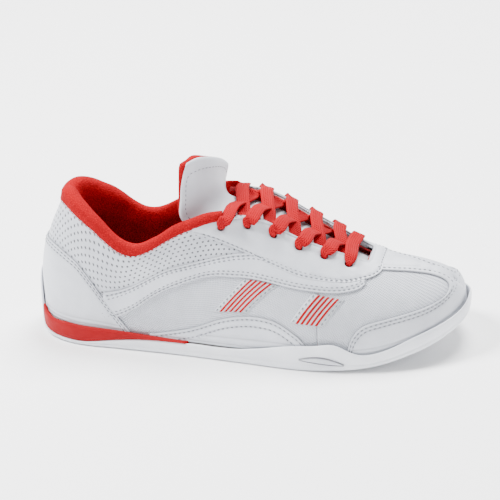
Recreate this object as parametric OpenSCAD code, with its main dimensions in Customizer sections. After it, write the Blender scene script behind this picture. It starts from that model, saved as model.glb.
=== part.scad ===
// Low-cut cheer shoe for the right foot: a padded lace-up upper on a cupped rubber outsole.
// +X runs from heel to toe, +Y is the inner (medial) side, and the sole rests on Z = 0.

/* [Shoe] */
// Outsole length, heel to toe
shoe_l = 268; // [256:1:280]
// Outsole width at the ball of the foot, as a share of the standard last
width_k = 1; // [0.94:0.01:1.06]
// Height of the collar and tongue, as a share of the standard last
height_k = 1; // [0.96:0.01:1.04]

/* [Upper] */
// Thickness of the base panels
panel_t = 1.2; // [1:0.1:1.3]
// Thickness of the overlays that are sewn on the base panels
overlay_t = 1; // [0.8:0.1:1.1]
// Thickness of the lining cloth
lining_t = 0.8; // [0.7:0.1:0.9]
// Thickness of the heel counter and toe puff
stiffener_t = 0.8; // [0.7:0.1:0.9]
// Diameter of the punched eyelets
eyelet_d = 4.9; // [4.6:0.1:5.2]

/* [Sole] */
// Thickness of the outsole floor
outsole_t = 2.2; // [2:0.1:2.6]
// Thickness of the outsole wall
wall_t = 1.7; // [1.4:0.1:1.9]
// Thickness of the insole board
board_t = 1.2; // [1:0.1:1.3]
// Thickness of the removable sockliner
sockliner_t = 3.4; // [2.5:0.1:4]

/* [Lace] */
// Width of the flat lace
lace_w = 6; // [5:0.5:7]
// Thickness of the flat lace
lace_t = 1.3; // [1:0.1:1.4]

/* [Hidden] */

white = "whitesmoke";
red = "indianred";
gap = 0.25;           // clearance between layers that lie on each other
wall_in = 1.9;        // inner face of the outsole wall, out from the panels
wall_out = wall_in + wall_t;
mid_y = -1.07;        // moves the shoe sideways so that its box is centred on Y = 0
step = 0.004;         // step for surface slopes
throat_u = 0.7;       // front end of the lace throat
ridge_w = 0.05;       // half width of the flat top of the vamp, and the throat edge
side_names = [-1, 1]; // -1 is the outer (lateral) side, 1 the inner (medial) side

// The last, as heights and half widths at eleven stations from heel to toe.
half_lateral = [0, 20, 31, 34, 37, 42, 46.5, 43, 31, 13, -8];
half_medial = [0, 20, 31, 32, 29, 28, 36, 44, 43, 31, 8];
top_lateral = [0, 13, 24, 29, 28, 19, 15, 5, -2, -5, -8];
top_medial = [0, 13, 24, 28, 27, 21, 17, 8, 3, 5, 8];
bed_z = [15, 14, 12.5, 11, 9, 8.5, 9, 9.5, 15.5, 22, 26];
top_z = [88, 89, 80, 64.5, 82, 92, 74, 58, 52, 46, 38];
ground_z = [3, 0.8, 0, 0, 0, 0, 0, 1.5, 7, 13.5, 18];
wall_z = [38, 16, 14, 12.5, 9.8, 9.8, 17, 11, 25, 33, 37];
heel_x = [wall_out, wall_out, 8.5, 18.5];
toe_x = [wall_out, 5.3, 11];

function lerp(a, b, t) = a + (b - a) * t;
function clamp(t, lo, hi) = min(max(t, lo), hi);
function ease(t) = let (c = clamp(t, 0, 1)) c * c * (3 - 2 * c);
function unit(v) = v / norm(v);

// Smooth curve through evenly spaced values, for t from 0 to 1.
function smooth(v, t) =
    let (
        n = len(v) - 1, s = clamp(t, 0, 1) * n, i = min(floor(s), n - 1), f = s - i,
        m0 = i == 0 ? v[1] - v[0] : (v[i + 1] - v[i - 1]) / 2,
        m1 = i == n - 1 ? v[n] - v[n - 1] : (v[i + 2] - v[i]) / 2
    )
    (2 * f ^ 3 - 3 * f ^ 2 + 1) * v[i] + (f ^ 3 - 2 * f ^ 2 + f) * m0
    + (3 * f ^ 2 - 2 * f ^ 3) * v[i + 1] + (f ^ 3 - f ^ 2) * m1;
// Straight runs between [t, value] pairs.
function ramp(p, t) = lookup(t, p);

function bezier(a, b, c, d, t) =
    (1 - t) ^ 3 * a + 3 * (1 - t) ^ 2 * t * b + 3 * (1 - t) * t ^ 2 * c + t ^ 3 * d;

// A point of the last: u from heel 0 to toe 1, side -1 or 1, v from the feather edge 0
// to the top edge 1.
function side_point(u, side, v) =
    let (
        along = (1 - cos(180 * u)) / 2,
        x0 = smooth(heel_x, v), x1 = shoe_l - smooth(toe_x, v),
        foot = width_k * smooth(side < 0 ? half_lateral : half_medial, u),
        edge = side * width_k * smooth(side < 0 ? top_lateral : top_medial, u),
        z0 = smooth(bed_z, u), z3 = z0 + (smooth(top_z, u) - z0) * height_k,
        vamp = ease((u - 0.42) / 0.3),
        swell = sqrt(max(sin(180 * u), 0)),
        y0 = side * (foot - 2.5 * swell),
        h = z3 - z0
    )
    [
        x0 + (x1 - x0) * along,
        bezier(y0, y0 + side * 1.5 * swell, lerp(edge, y0, 0.12 + 0.5 * vamp), edge, v),
        bezier(z0, z0 + h * (0.42 + 0.2 * vamp), z3 - h * (0.34 - 0.22 * vamp), z3, v)
    ] - [shoe_l / 2, mid_y * width_k, 0];

// The whole last as one sheet: w is -1 at the lateral feather edge, 0 at the top edge and 1 at
// the medial feather edge; u below 0 or above 1 carries on round the heel or the toe.
function folded(u) = u < 0 ? -u : u > 1 ? 2 - u : u;
function flip(u) = u < 0 || u > 1 ? -1 : 1;
function last_at(u, w) =
    let (f = folded(u), s = w * flip(u), t = (s + ridge_w) / (2 * ridge_w))
    f > throat_u && abs(s) < ridge_w
        ? lerp(side_point(f, -1, 1 - ridge_w), side_point(f, 1, 1 - ridge_w), t)
        : side_point(f, s < 0 ? -1 : 1, 1 - abs(s));
function normal_at(u, w) =
    let (
        tip = folded(u) > 1 - step && abs(w) < 2 * ridge_w,
        wn = tip ? 2 * ridge_w : w,
        open = folded(u) <= throat_u,
        hi = open && wn < 0 ? min(wn + step, -0.0001) : wn + step,
        lo = open && wn >= 0 ? max(wn - step, 0.0001) : wn - step
    )
    unit(cross(last_at(u + step, wn) - last_at(u - step, wn), last_at(u, hi) - last_at(u, lo)));
function skin(p, d) = last_at(p[0], p[1]) + d * normal_at(p[0], p[1]);

// Closed solids from index lists. A quad is given anticlockwise as seen from outside.
function quad(a, b, c, d) = concat(
    a == b || b == c ? [] : [[a, c, b]],
    c == d || d == a ? [] : [[a, d, c]]
);
function joined(lists) = [for (l = lists) for (f = l) f];

// Sheet between two grids of points. keep says which cells exist, and weld closes the sheet
// on itself at its last row, where it meets its own mirror image.
module sheet(outer, inner, keep = function(i, j) true, weld = false) {
    ni = len(outer) - 1;
    nj = len(outer[0]) - 1;
    inside = (ni + 1) * (nj + 1);
    at = function(i, j) i * (nj + 1) + (weld && i == ni ? min(j, nj - j) : j);
    on = function(i, j)
        j >= 0 && j < nj && i >= 0 && (i < ni ? keep(i, j) : weld && keep(ni - 1, nj - 1 - j));
    wall = function(p, q, bare) bare ? quad(q, p, p + inside, q + inside) : [];
    polyhedron(
        concat([for (row = outer) for (p = row) p], [for (row = inner) for (p = row) p]),
        joined([for (i = [0:ni - 1]) for (j = [0:nj - 1]) if (keep(i, j))
            let (a = at(i, j), b = at(i + 1, j), c = at(i + 1, j + 1), d = at(i, j + 1))
            concat(
                quad(a, b, c, d),
                quad(a + inside, d + inside, c + inside, b + inside),
                wall(a, b, !on(i, j - 1)), b == c ? [] : wall(b, c, !on(i + 1, j)),
                wall(c, d, !on(i, j + 1)), wall(d, a, !on(i - 1, j))
            )])
    );
}

// Panel that follows the last between two offsets. uw gives [u, w] at each grid point.
module panel(ni, nj, uw, lo, hi, keep = function(i, j) true, weld = false) {
    sheet(
        [for (i = [0:ni]) [for (j = [0:nj]) skin(uw(i, j), hi)]],
        [for (i = [0:ni]) [for (j = [0:nj]) skin(uw(i, j), lo)]],
        keep, weld
    );
}

// One panel on one side, between two edges given as v at each u.
module side_panel(side, u0, u1, ni, nj, v_low, v_high, lo, hi) {
    panel(ni, nj, function(i, j)
        let (u = lerp(u0, u1, i / ni), v = lerp(v_low(u), v_high(u), (side < 0 ? j : nj - j) / nj))
        [u, side * (1 - v)], lo, hi);
}

// Lofted block from closed rings that run heel, lateral side, toe, medial side.
function loop_stations(n, end_u) = concat(
    [for (i = [0:n]) [end_u * i / n, -1]],
    [for (i = [end_u == 1 ? n - 1 : n:-1:1]) [end_u * i / n, 1]]
);
module block(rings, n) {
    m = len(rings[0]);
    top = (len(rings) - 1) * m;
    mate = function(i) (m - i) % m;
    cap = function(i, base) concat(
        quad(base + i, base + i + 1, base + mate(i + 1), base + mate(i)));
    polyhedron(
        joined([rings[0], joined([for (k = [1:len(rings) - 1]) rings[k]])]),
        joined([
            joined([for (k = [0:len(rings) - 2]) for (j = [0:m - 1])
                quad(k * m + j, k * m + (j + 1) % m, (k + 1) * m + (j + 1) % m, (k + 1) * m + j)]),
            joined([for (i = [0:n - 1]) [for (f = cap(i, 0)) [f[0], f[2], f[1]]]]),
            joined([for (i = [0:n - 1]) cap(i, top)])
        ])
    );
}

// Plan outline of the last at height z, grown sideways.
function v_at(u, side, z, lo = 0, hi = 0.7, n = 10) =
    let (m = (lo + hi) / 2)
    n == 0 ? m
    : side_point(u, side, m).z < z ? v_at(u, side, z, m, hi, n - 1)
    : v_at(u, side, z, lo, m, n - 1);
function outline(u, side, z, grow) =
    let (
        p = side_point(u, side, v_at(u, side, z)),
        t = last_at(u + step, side) - last_at(u - step, side),
        n = unit([-side * t.y, side * t.x])
    )
    [p.x + grow * n.x, p.y + grow * n.y, z];

// Places of the seams, as v at each u.
function foxing_edge(u) = ramp([[0, 0.6], [0.1, 0.62], [0.2, 0.6], [0.26, 0.46], [0.32, 0.02]], abs(u));
function quarter_seam(u) = ramp([[0.13, 0.03], [0.25, 0.36], [0.35, 0.55], [0.6, 0.57]], u);
function band_top(u) =
    ramp([[0.33, 0.58], [0.38, 0.64], [0.5, 0.645], [0.59, 0.55], [0.66, 0.58], [0.69, 0.57]], u);
function band_low(u) =
    ramp([[0.33, 0.26], [0.37, 0.4], [0.44, 0.5], [0.5, 0.47], [0.59, 0.47], [0.65, 0.5], [0.69, 0.54]], u);
function arch_top(u) =
    ramp([[0.36, 0.03], [0.42, 0.1], [0.48, 0.19], [0.55, 0.21], [0.59, 0.13], [0.61, 0.04]], u);
function eyestay_low(u) =
    ramp([[0.41, 0.94], [0.5, 0.67], [0.59, 0.58], [0.66, 0.62], [0.7, 0.72], [0.73, 0.86]], u);
function throat_v(u) = 1 - ridge_w * ease((u - 0.42) / 0.08) - 0.004;
function guard_top(u) = ramp([[0.67, 0.05], [0.7, 0.27], [0.8, 0.33], [0.88, 0.42], [0.93, 0.6]], u);

// Eyelet rows from the collar to the toe, as [u, w] on the medial side.
eyelets = [[0.462, 0.11], [0.503, 0.125], [0.544, 0.14], [0.585, 0.15], [0.626, 0.155], [0.667, 0.16]];
module eyelet_holes() {
    for (e = eyelets, side = side_names) {
        n = normal_at(e[0], side * e[1]);
        translate(last_at(e[0], side * e[1]))
            rotate([0, acos(n.z), atan2(n.y, n.x)])
                cylinder(h = 14, d = eyelet_d, center = true, $fn = 32);
    }
}

// ---- Sole ----
sole_n = 30;
function sole_ring(grow, z, n = sole_n, end_u = 1) =
    [for (s = loop_stations(n, end_u)) outline(s[0], s[1], z(s[0]), grow(s[0]))];
function ground(u) = max(smooth(ground_z, u), 0);
function floor_z(u) = ground(u) + outsole_t;
// The outsole wall is left out where the wedge shows; the wedge widens one station further in.
function wedge_open(u) = u > 0.05 && u < 0.41 ? 1 : 0;
function wedge_wide(u) = u > 0.08 && u < 0.38 ? 1 : 0;
function heel_rim(u) = ramp([[0, 38], [0.02, 36], [0.09, 17], [1, 0]], u);
function rim_z(u) = lerp(heel_rim(u), smooth(wall_z, u), ease((u - 0.05) / 0.05));
function outsole_rim(u) = lerp(rim_z(u), floor_z(u), wedge_open(u));
// The toe wall stands a little further off, because the upper slopes away from it.
function lean(u) = 1.1 * ease((u - 0.8) / 0.15);
module outsole() color("lavender") block([
    sole_ring(function(u) wall_in - 1 - 5 * ease((u - 0.7) / 0.3), function(u) ground(u)),
    sole_ring(function(u) wall_out, function(u) lerp(ground(u), min(floor_z(u), outsole_rim(u)), 0.8)),
    sole_ring(function(u) wall_out + lean(u) / 2, function(u) lerp(floor_z(u), outsole_rim(u), 0.5)),
    sole_ring(function(u) wall_out - 0.3 + lean(u), function(u) outsole_rim(u) + 0.1),
    sole_ring(function(u) wall_in + lean(u), function(u) outsole_rim(u) + 0.1),
    sole_ring(function(u) wall_in + lean(u) / 2, function(u) lerp(floor_z(u), outsole_rim(u), 0.5) + 0.05),
    sole_ring(function(u) wall_in, function(u) floor_z(u)),
    sole_ring(function(u) wall_in - 3, function(u) floor_z(u) - 0.02)
], sole_n);

wedge_end = 0.4;
wedge_n = 12;
function wedge_bottom(u) = floor_z(u) + 0.4 + 4 * ease((0.08 - u) / 0.06);
function wedge_floor(u) = lerp(bed_z[0] - 3.5, floor_z(u) + 0.8, u / wedge_end);
function wedge_grow(u, out) = lerp(wall_in - 2 * gap, out, wedge_wide(u));
function wedge_rim(u) = lerp(wedge_floor(u), smooth(wall_z, u), wedge_wide(u) * 0.97) + 0.1;
function wedge_middle(u) = lerp(wedge_bottom(u), wedge_rim(u), 0.35);
function wedge_ring(grow, z) = sole_ring(grow, z, wedge_n, wedge_end);
module heel_wedge() color(red) block([
    wedge_ring(function(u) wedge_grow(u, wall_out - 0.6), function(u) wedge_bottom(u)),
    wedge_ring(function(u) wedge_grow(u, wall_out), function(u) wedge_middle(u)),
    wedge_ring(function(u) wedge_grow(u, wall_out), function(u) wedge_rim(u)),
    wedge_ring(function(u) wall_in - 2.2 * gap, function(u) wedge_rim(u) + 0.05),
    wedge_ring(function(u) wall_in - 1, function(u) wedge_floor(u))
], wedge_n);

function under_midsole(u) =
    u < wedge_end + 0.01 ? max(wedge_floor(min(u, wedge_end)), floor_z(u)) : floor_z(u);
function midsole_low(u) = under_midsole(u) + gap + 1.4 * ease((u - 0.7) / 0.2);
module midsole() color("white") block([
    sole_ring(function(u) wall_in - 2, function(u) midsole_low(u)),
    sole_ring(function(u) wall_in - 1.7, function(u) smooth(bed_z, u) - board_t - 0.2),
], sole_n);

module sole_windows() color("gainsboro") for (side = side_names) {
    ends = [0.575, 0.645];
    rise = function(u) 2.2 * sin(180 * (u - ends[0] + 0.004) / (ends[1] - ends[0] + 0.008));
    face = function(grow) [for (i = [0:10]) let (u = lerp(ends[0], ends[1], i / 10))
        [for (j = side < 0 ? [-1, 1] : [1, -1]) outline(u, side, 6.2 + j * rise(u), grow)]];
    sheet(face(wall_out + 0.7), face(wall_out + 0.1));
}

module strobel_board() color("beige") block([
    sole_ring(function(u) -panel_t - 0.4, function(u) smooth(bed_z, u) - board_t),
    sole_ring(function(u) -panel_t - 0.4, function(u) smooth(bed_z, u) - 0.1)
], sole_n);

sockliner_grow = -6.6;
function heel_cup(u) = 4 * ease((0.3 - u) / 0.25);
module sockliner() color("gold") block([
    sole_ring(function(u) sockliner_grow, function(u) smooth(bed_z, u) + 0.3),
    sole_ring(function(u) sockliner_grow, function(u) smooth(bed_z, u) + sockliner_t + heel_cup(u)),
    sole_ring(
        function(u) sockliner_grow - 1.6,
        function(u) smooth(bed_z, u) + sockliner_t + 0.1 + heel_cup(u)
    ),
    sole_ring(function(u) sockliner_grow - 5, function(u) smooth(bed_z, u) + sockliner_t)
], sole_n);

// ---- Stiffeners and linings ----
counter_lo = -panel_t - gap - stiffener_t;
module heel_counter() color("silver") panel(20, 5, function(i, j)
    [lerp(-0.27, 0.27, i / 20), -lerp(0.97, 0.5, j / 5)], counter_lo, -panel_t - gap);

// Stations over the toe, closer together where the last turns down.
front_us = [throat_u, 0.735, 0.78, 0.825, 0.87, 0.9, 0.93, 0.955, 0.977, 0.992, 1];
front_n = len(front_us) - 1;
puff_first = 4;
front_rows = 17;
vamp_back = 0.603;
// Row j of a symmetric grid with a flat bridge in the middle, from w = -out to w = out.
function across(j, n, out) =
    let (h = (n - 1) / 2) j <= h ? lerp(-out, -ridge_w, j / h) : lerp(ridge_w, out, (j - h - 1) / h);
module toe_puff() color("silver") panel(front_n - puff_first, front_rows, function(i, j)
    [front_us[i + puff_first], across(j, front_rows, 0.97)], counter_lo, -panel_t - gap, weld = true);

lining_hi = -panel_t - stiffener_t - 3 * gap;
module vamp_lining() color(red) difference() {
    us = concat([for (i = [0:7]) lerp(0.45, throat_u, i / 8)], front_us);
    panel(8 + front_n, front_rows, function(i, j) [us[i], across(j, front_rows, 0.95)],
        lining_hi - lining_t, lining_hi,
        function(i, j) i >= 8 || j != (front_rows - 1) / 2, true);
    eyelet_holes();
}

// Section of the padded collar. It starts as a lip outside the panel, at two depths [down, out],
// and carries on over the top edge as [inward, up], scaled by the padding.
collar_end = 0.41;
collar_n = 36;
lip_section = [[5, 0], [0.4, 0.5]];
pad_section = [[-0.5, 4], [3.5, 5.6], [7.5, 4], [9.5, -1], [9.5, -9], [7.5, -18]];
function padding(u) = lerp(1, 0.42, ease((abs(u) - 0.1) / 0.3));
function side_of(u) = u < 0 ? 1 : -1;
function collar_frame(u) = let (
    a = side_point(abs(u), side_of(u), 1),
    n = normal_at(u, -0.02), flat = unit([n.x, n.y, 0]))
    [a, flat];
function collar_point(u, inward, up, shrink) = let (
    f = collar_frame(u), k = padding(u),
    across = inward < 0 ? inward + shrink : lerp(1, inward, k) - (inward > 5 ? shrink : 0),
    rise = up > 0 ? up * lerp(k, 1, 0.5) - (up > 3 ? shrink : 0) : up * lerp(k, 1, 0.3))
    f[0] - across * f[1] + [0, 0, rise];
function lip_point(u, down, out, shrink) =
    inner_wall(u, 1 - down / (smooth(top_z, abs(u)) - smooth(bed_z, abs(u))), gap + lining_t + out - shrink);
function inner_wall(u, v, d) = skin([u, -max(1 - v, 0.002)], d);
wall_d = counter_lo - gap - lining_t;
function lining_row(u, shrink) = concat(
    [for (p = lip_section) lip_point(u, p[0], p[1], shrink)],
    [for (p = pad_section) collar_point(u, p[0], p[1], shrink)],
    [
        inner_wall(u, 0.5, wall_d + shrink - 1.5),
        inner_wall(u, 0.3, wall_d + shrink),
        inner_wall(u, 0.05, wall_d + shrink)
    ]
);
module collar_lining() color(red) {
    us = [for (i = [0:collar_n]) lerp(-collar_end, collar_end, i / collar_n)];
    sheet(
        [for (u = us) lining_row(u, 0)],
        [for (u = us) lining_row(u, lining_t)]
    );
}
module collar_foam() color("khaki") {
    lo = -panel_t - gap;
    us = [for (i = [0:collar_n]) lerp(-collar_end, collar_end, i / collar_n)];
    face = [for (u = us) let (r = lining_row(u, lining_t + gap)) [for (k = [2:8]) r[k]]];
    // Lower down the back of the foam steps inward to clear the stiffener.
    back_d = function(v) lo - ease((0.72 - v) / 0.05) * (stiffener_t + gap);
    back = [for (u = us) concat(
        [inner_wall(u, 1, lo - 0.1) + [0, 0, 1.5]],
        [for (k = [0:5]) let (v = lerp(0.985, 0.6, k / 5)) inner_wall(u, v, back_d(v))]
    )];
    sheet(face, back);
}

// ---- Base panels ----
// The quarter seam splits each side into the padded collar panel above and the side panel
// below; forward of the collar the side panel runs up to the throat edge.
collar_split = 0.47;
module collar_panel(side) color(white) difference() {
    side_panel(side, 0.003, collar_split, 18, 6,
        function(u) max(quarter_seam(u), 0.02) + 0.006, function(u) throat_v(u), -panel_t, 0);
    eyelet_holes();
}
module mesh_side(side) color("gainsboro") difference() {
    ni = 16;
    nj = 9;
    split = collar_split + 0.003;
    us = [for (i = [0:10]) lerp(0.16, split, i / 10), for (i = [1:6]) lerp(split, 0.6, i / 6)];
    vs = function(u, k) k <= 5
        ? lerp(0.004, quarter_seam(u), k / 5)
        : lerp(quarter_seam(u), throat_v(u), (k - 5) / 4);
    row = function(j) side < 0 ? j : nj - j;
    panel(ni, nj, function(i, j) [us[i], side * (1 - vs(us[i], row(j)))], -panel_t, 0,
        function(i, j) i >= 10 || (side < 0 ? j : nj - 1 - j) < 5);
    eyelet_holes();
}
module vamp() color("gainsboro") difference() {
    us = concat([for (i = [0:4]) lerp(vamp_back, throat_u, i / 5)], front_us);
    panel(5 + front_n, front_rows, function(i, j) [us[i], across(j, front_rows, 0.996)], -panel_t, 0,
        function(i, j) i >= 5 || j != (front_rows - 1) / 2, true);
    eyelet_holes();
}
module backer(side) color("silver") difference() {
    side_panel(side, 0.45, 0.69, 10, 3, function(u) 0.74, function(u) throat_v(u) - 0.01,
        counter_lo, -panel_t - gap);
    eyelet_holes();
}

// ---- Overlays ----
over_lo = gap;
over_hi = gap + overlay_t;
module toe_guard() color(white) {
    strip = 0.14;
    us = concat([lerp(vamp_back, throat_u, 0.8)], front_us);
    w_row = function(u, k) k <= 3 ? lerp(0.996, 1 - guard_top(u), k / 3)
        : k <= 6 ? lerp(1 - guard_top(u), strip, (k - 3) / 3) : lerp(strip, ridge_w, (k - 6) / 2);
    panel(1 + front_n, front_rows,
        function(i, j) [us[i], j <= 8 ? -w_row(us[i], j) : w_row(us[i], front_rows - j)], over_lo, over_hi,
        function(i, j) let (k = j <= 8 ? j : front_rows - 1 - j) k < 3 || i >= 6 || (k >= 6 && i >= 2), true);
}
module eyestay() color(white) difference() {
    rows = 9;
    us = [for (i = [0:12]) lerp(0.415, throat_u, i / 12), for (i = [1:2]) lerp(throat_u, 0.732, i / 2)];
    w_row = function(u, k) lerp(1 - eyestay_low(u), 1 - throat_v(u), k / 4);
    panel(14, rows, function(i, j) [us[i], j <= 4 ? -w_row(us[i], j) : w_row(us[i], rows - j)],
        over_lo, over_hi, function(i, j) j != 4 || i >= 12);
    eyelet_holes();
}
module heel_foxing() color(white) panel(24, 5, function(i, j)
    let (u = lerp(-0.32, 0.32, i / 24)) [u, -(1 - lerp(0.006, foxing_edge(u), j / 5))], over_lo, over_hi);
module arch_band(side) color(white)
    side_panel(side, 0.333, 0.69, 16, 3, function(u) band_low(u), function(u) band_top(u),
        over_lo, over_hi);
module arch_panel(side) color(white)
    side_panel(side, 0.36, 0.61, 12, 3, function(u) 0.006, function(u) arch_top(u), over_lo, over_hi);
// Each stripe patch is a slanted strip: [u at the foot, u at the top, v at the foot, v at the top].
stripe_patches = [[0.478, 0.515, 0.215, 0.445], [0.6 - 0.012, 0.622, 0.16, 0.445]];
stripe_w = 0.03;
module stripes(side) color(red) for (p = stripe_patches)
    panel(4, 4, function(i, j)
        let (t = (side < 0 ? j : 4 - j) / 4)
        [lerp(p[0], p[1], t) + stripe_w * (i / 4 - 0.5), side * (1 - lerp(p[2], p[3], t))],
        over_lo, over_lo + 0.5);

// ---- Tongue ----
// Control rows from its front seam to its top edge, each from the lateral to the medial edge.
tongue_depth = -6.4;
function tongue_row(u, drop) = [
    skin([u, -0.26], tongue_depth - 0.6), skin([u, -0.13], tongue_depth),
    (skin([u, -ridge_w], 0) + skin([u, ridge_w], 0)) / 2 - [0, 0, drop],
    skin([u, 0.13], tongue_depth), skin([u, 0.26], tongue_depth - 0.6)
];
function free_row(p) = [for (q = p) [q.x - shoe_l / 2, (q.y - mid_y) * width_k, q.z * height_k]];
tongue_rows = [
    tongue_row(0.74, 5.6), tongue_row(0.7, 5.5), tongue_row(0.65, 5.3), tongue_row(0.6, 5.3),
    tongue_row(0.55, 5.4), tongue_row(0.5, 5.8),
    free_row([[102, -20, 79.5], [113, -13, 85.5], [119.5, 1, 89], [116, 13.5, 86.5], [107, 19.8, 81.5]]),
    free_row([[92, -20, 95], [103, -13, 100], [111, 0, 102], [111, 12, 99], [106, 21, 93]]),
    free_row([[96, -18, 114], [103, -11, 118], [108, 0, 116], [110, 11, 111], [108, 20, 104.5]])
];
function tongue_at(s, c) = smooth([for (r = tongue_rows) smooth(r, c)], s);
function tongue_skin(s, c, d) = let (
    du = tongue_at(min(s + 0.01, 1), c) - tongue_at(max(s - 0.01, 0), c),
    dw = tongue_at(s, min(c + 0.01, 1)) - tongue_at(s, max(c - 0.01, 0)))
    tongue_at(s, c) + d * unit(cross(dw, du));
function tongue_grid(d, s0, s1) = [for (i = [0:14]) [for (j = [0:10])
    let (s = lerp(s0, s1, i / 14)) tongue_skin(s, j / 10, d(s, j / 10))]];
shell_t = 1.1;
function pad_t(s, c) = lerp(1, 5, ease((s - 0.5) / 0.4)) * (0.45 + 0.55 * sin(180 * clamp(c, 0.04, 0.96)));
module tongue_layer(outer, inner, s0, s1) sheet(tongue_grid(inner, s0, s1), tongue_grid(outer, s0, s1));
module tongue_shell() color(white)
    tongue_layer(function(s, c) 0, function(s, c) -shell_t, 0, 1);
module tongue_foam() color("khaki")
    tongue_layer(function(s, c) -shell_t - 2 * gap,
        function(s, c) -shell_t - 2 * gap - pad_t(s, c), 0.12, 0.99);
module tongue_lining() color(red)
    tongue_layer(function(s, c) -shell_t - 3 * gap - pad_t(s, c),
        function(s, c) -shell_t - 3 * gap - pad_t(s, c) - lining_t, 0.12, 0.99);

// ---- Lace ----
// A strand starts under one eyelet, comes up in the throat, crosses the tongue and the other
// eyestay, and goes down through the next eyelet. Each stop is [point, share of width, u].
under_d = -4.6;
over_d = 2.5;
hole_share = 0.49;
cross_up = [1.5, -0.2]; // height of the lateral and the medial strand where they cross
function by_skin(u, w, d, share = 1) = [skin([u, w], d), share, u];
function edge_w(u) = 1 - throat_v(u);
function over_throat(u, s, t, up) =
    lerp(skin([u, s * edge_w(u)], 0), skin([u, -s * edge_w(u)], 0), t) + [0, 0, up];
function by_throat(u, s, t, up) = [over_throat(u, s, t, up), 1, u];
function hole_stops(e, s) = [
    by_skin(e[0], s * (e[1] - 0.036), over_d, 0.8), by_skin(e[0], s * e[1], 1.2, hole_share),
    by_skin(e[0], s * e[1], -1.6, hole_share), by_skin(e[0], s * (e[1] - 0.008), under_d, 0.6)
];
function strand(i, s) = let (a = eyelets[i + 1], b = eyelets[i], u = function(t) lerp(a[0], b[0], t))
    concat([
        by_skin(u(0.08), s * 0.085, under_d, 0.9),
        by_skin(u(0.16), s * edge_w(u(0.16)), under_d - 0.3),
        by_throat(u(0.3), s, 0.22, -2),
        by_throat(u(0.5), s, 0.5, s < 0 ? cross_up[0] : cross_up[1]),
        by_throat(u(0.7), s, 0.8, 2.8),
        by_skin(u(0.84), -s * edge_w(u(0.84)), over_d + 0.4)
    ], hole_stops(b, -s));
function reversed(p) = [for (i = [len(p) - 1:-1:0]) p[i]];
last_row = eyelets[5];
function half_lace(s) = concat(
    joined([for (k = [0:4]) strand(4 - k, k % 2 == 0 ? s : -s)]),
    [for (k = [0:2]) by_skin(0.475 + 0.005 * k, -s * (0.17 + 0.07 * k), under_d - 0.1 - 0.35 * k, 0.6)]
);
lace_stops = concat(
    reversed(half_lace(-1)), reversed(hole_stops(last_row, -1)),
    [by_skin(last_row[0], -ridge_w, over_d + 0.3), by_throat(last_row[0], -1, 0.5, 2.6),
        by_skin(last_row[0], ridge_w, over_d + 0.3)],
    hole_stops(last_row, 1), half_lace(1)
);
lace_rings = 2 * len(lace_stops);
function along_throat(u) = unit(over_throat(u - 0.02, 1, 0.5, 0) - over_throat(u + 0.02, 1, 0.5, 0));
function lace_frame(t) = let (
    pts = [for (p = lace_stops) p[0]], e = 0.2 / lace_rings,
    dir = unit(smooth(pts, min(t + e, 1)) - smooth(pts, max(t - e, 0))),
    along = along_throat(smooth([for (p = lace_stops) p[2]], t)),
    wide = unit(along - (along * dir) * dir))
    [smooth(pts, t), wide, cross(dir, wide), smooth([for (p = lace_stops) p[1]], t) * lace_w / 2];
module lace() color(red) {
    bevel = 0.5;
    rings = [for (k = [0:lace_rings]) let (f = lace_frame(k / lace_rings), h = f[3], t = lace_t / 2)
        [for (c = [[-h, 0], [bevel - h, -t], [h - bevel, -t], [h, 0], [h - bevel, t], [bevel - h, t]])
            f[0] + c.x * f[1] + c.y * f[2]]];
    m = len(rings[0]);
    n = len(rings);
    polyhedron(joined(rings), concat(
        [[for (j = [0:m - 1]) j]], [[for (j = [m - 1:-1:0]) (n - 1) * m + j]],
        joined([for (i = [0:n - 2]) for (j = [0:m - 1])
            quad(i * m + j, i * m + (j + 1) % m, (i + 1) * m + (j + 1) % m, (i + 1) * m + j)])
    ));
}
module lace_aglets() color("gainsboro") for (end = [0, 1]) {
    tip = lace_stops[end * (len(lace_stops) - 1)][0];
    before = lace_stops[end == 0 ? 1 : len(lace_stops) - 2][0];
    dir = unit(tip - before);
    translate(tip + 0.1 * dir) rotate([0, acos(dir.z), atan2(dir.y, dir.x)])
        cylinder(h = 10, d = 2, $fn = 24);
}

outsole();
heel_wedge();
midsole();
sole_windows();
strobel_board();
sockliner();
heel_counter();
toe_puff();
collar_foam();
collar_lining();
vamp_lining();
collar_panel(-1);  // lateral_collar_panel
collar_panel(1);  // medial_collar_panel
mesh_side(-1);  // lateral_side_panel
mesh_side(1);  // medial_side_panel
vamp();
toe_guard();
eyestay();
backer(-1);  // lateral_eyestay_backer
backer(1);  // medial_eyestay_backer
arch_band(-1);  // lateral_arch_band
arch_band(1);  // medial_arch_band
arch_panel(-1);  // lateral_arch_panel
arch_panel(1);  // medial_arch_panel
stripes(-1);  // lateral_stripes
stripes(1);  // medial_stripes
heel_foxing();
tongue_shell();
tongue_foam();
tongue_lining();
lace();
lace_aglets();
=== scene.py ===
"""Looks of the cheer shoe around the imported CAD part: leather, mesh, padding, lace and rubber.

The shapes follow the same last as part.scad, so its control values are repeated here in
millimetres. Some pieces are set a little apart from their CAD solids, to follow the photograph: the
toe of the sole, the top of the tongue, the striped patches, the sole windows and the lace's width. A
place on the last is (u, w): u runs from heel 0 to toe 1, and w from the lateral feather edge -1 over
the top edge 0 to the medial feather edge 1.
"""

import math

import bmesh
import bpy
import numpy as np
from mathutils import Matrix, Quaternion, Vector, noise
from mathutils.geometry import delaunay_2d_cdt


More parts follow.
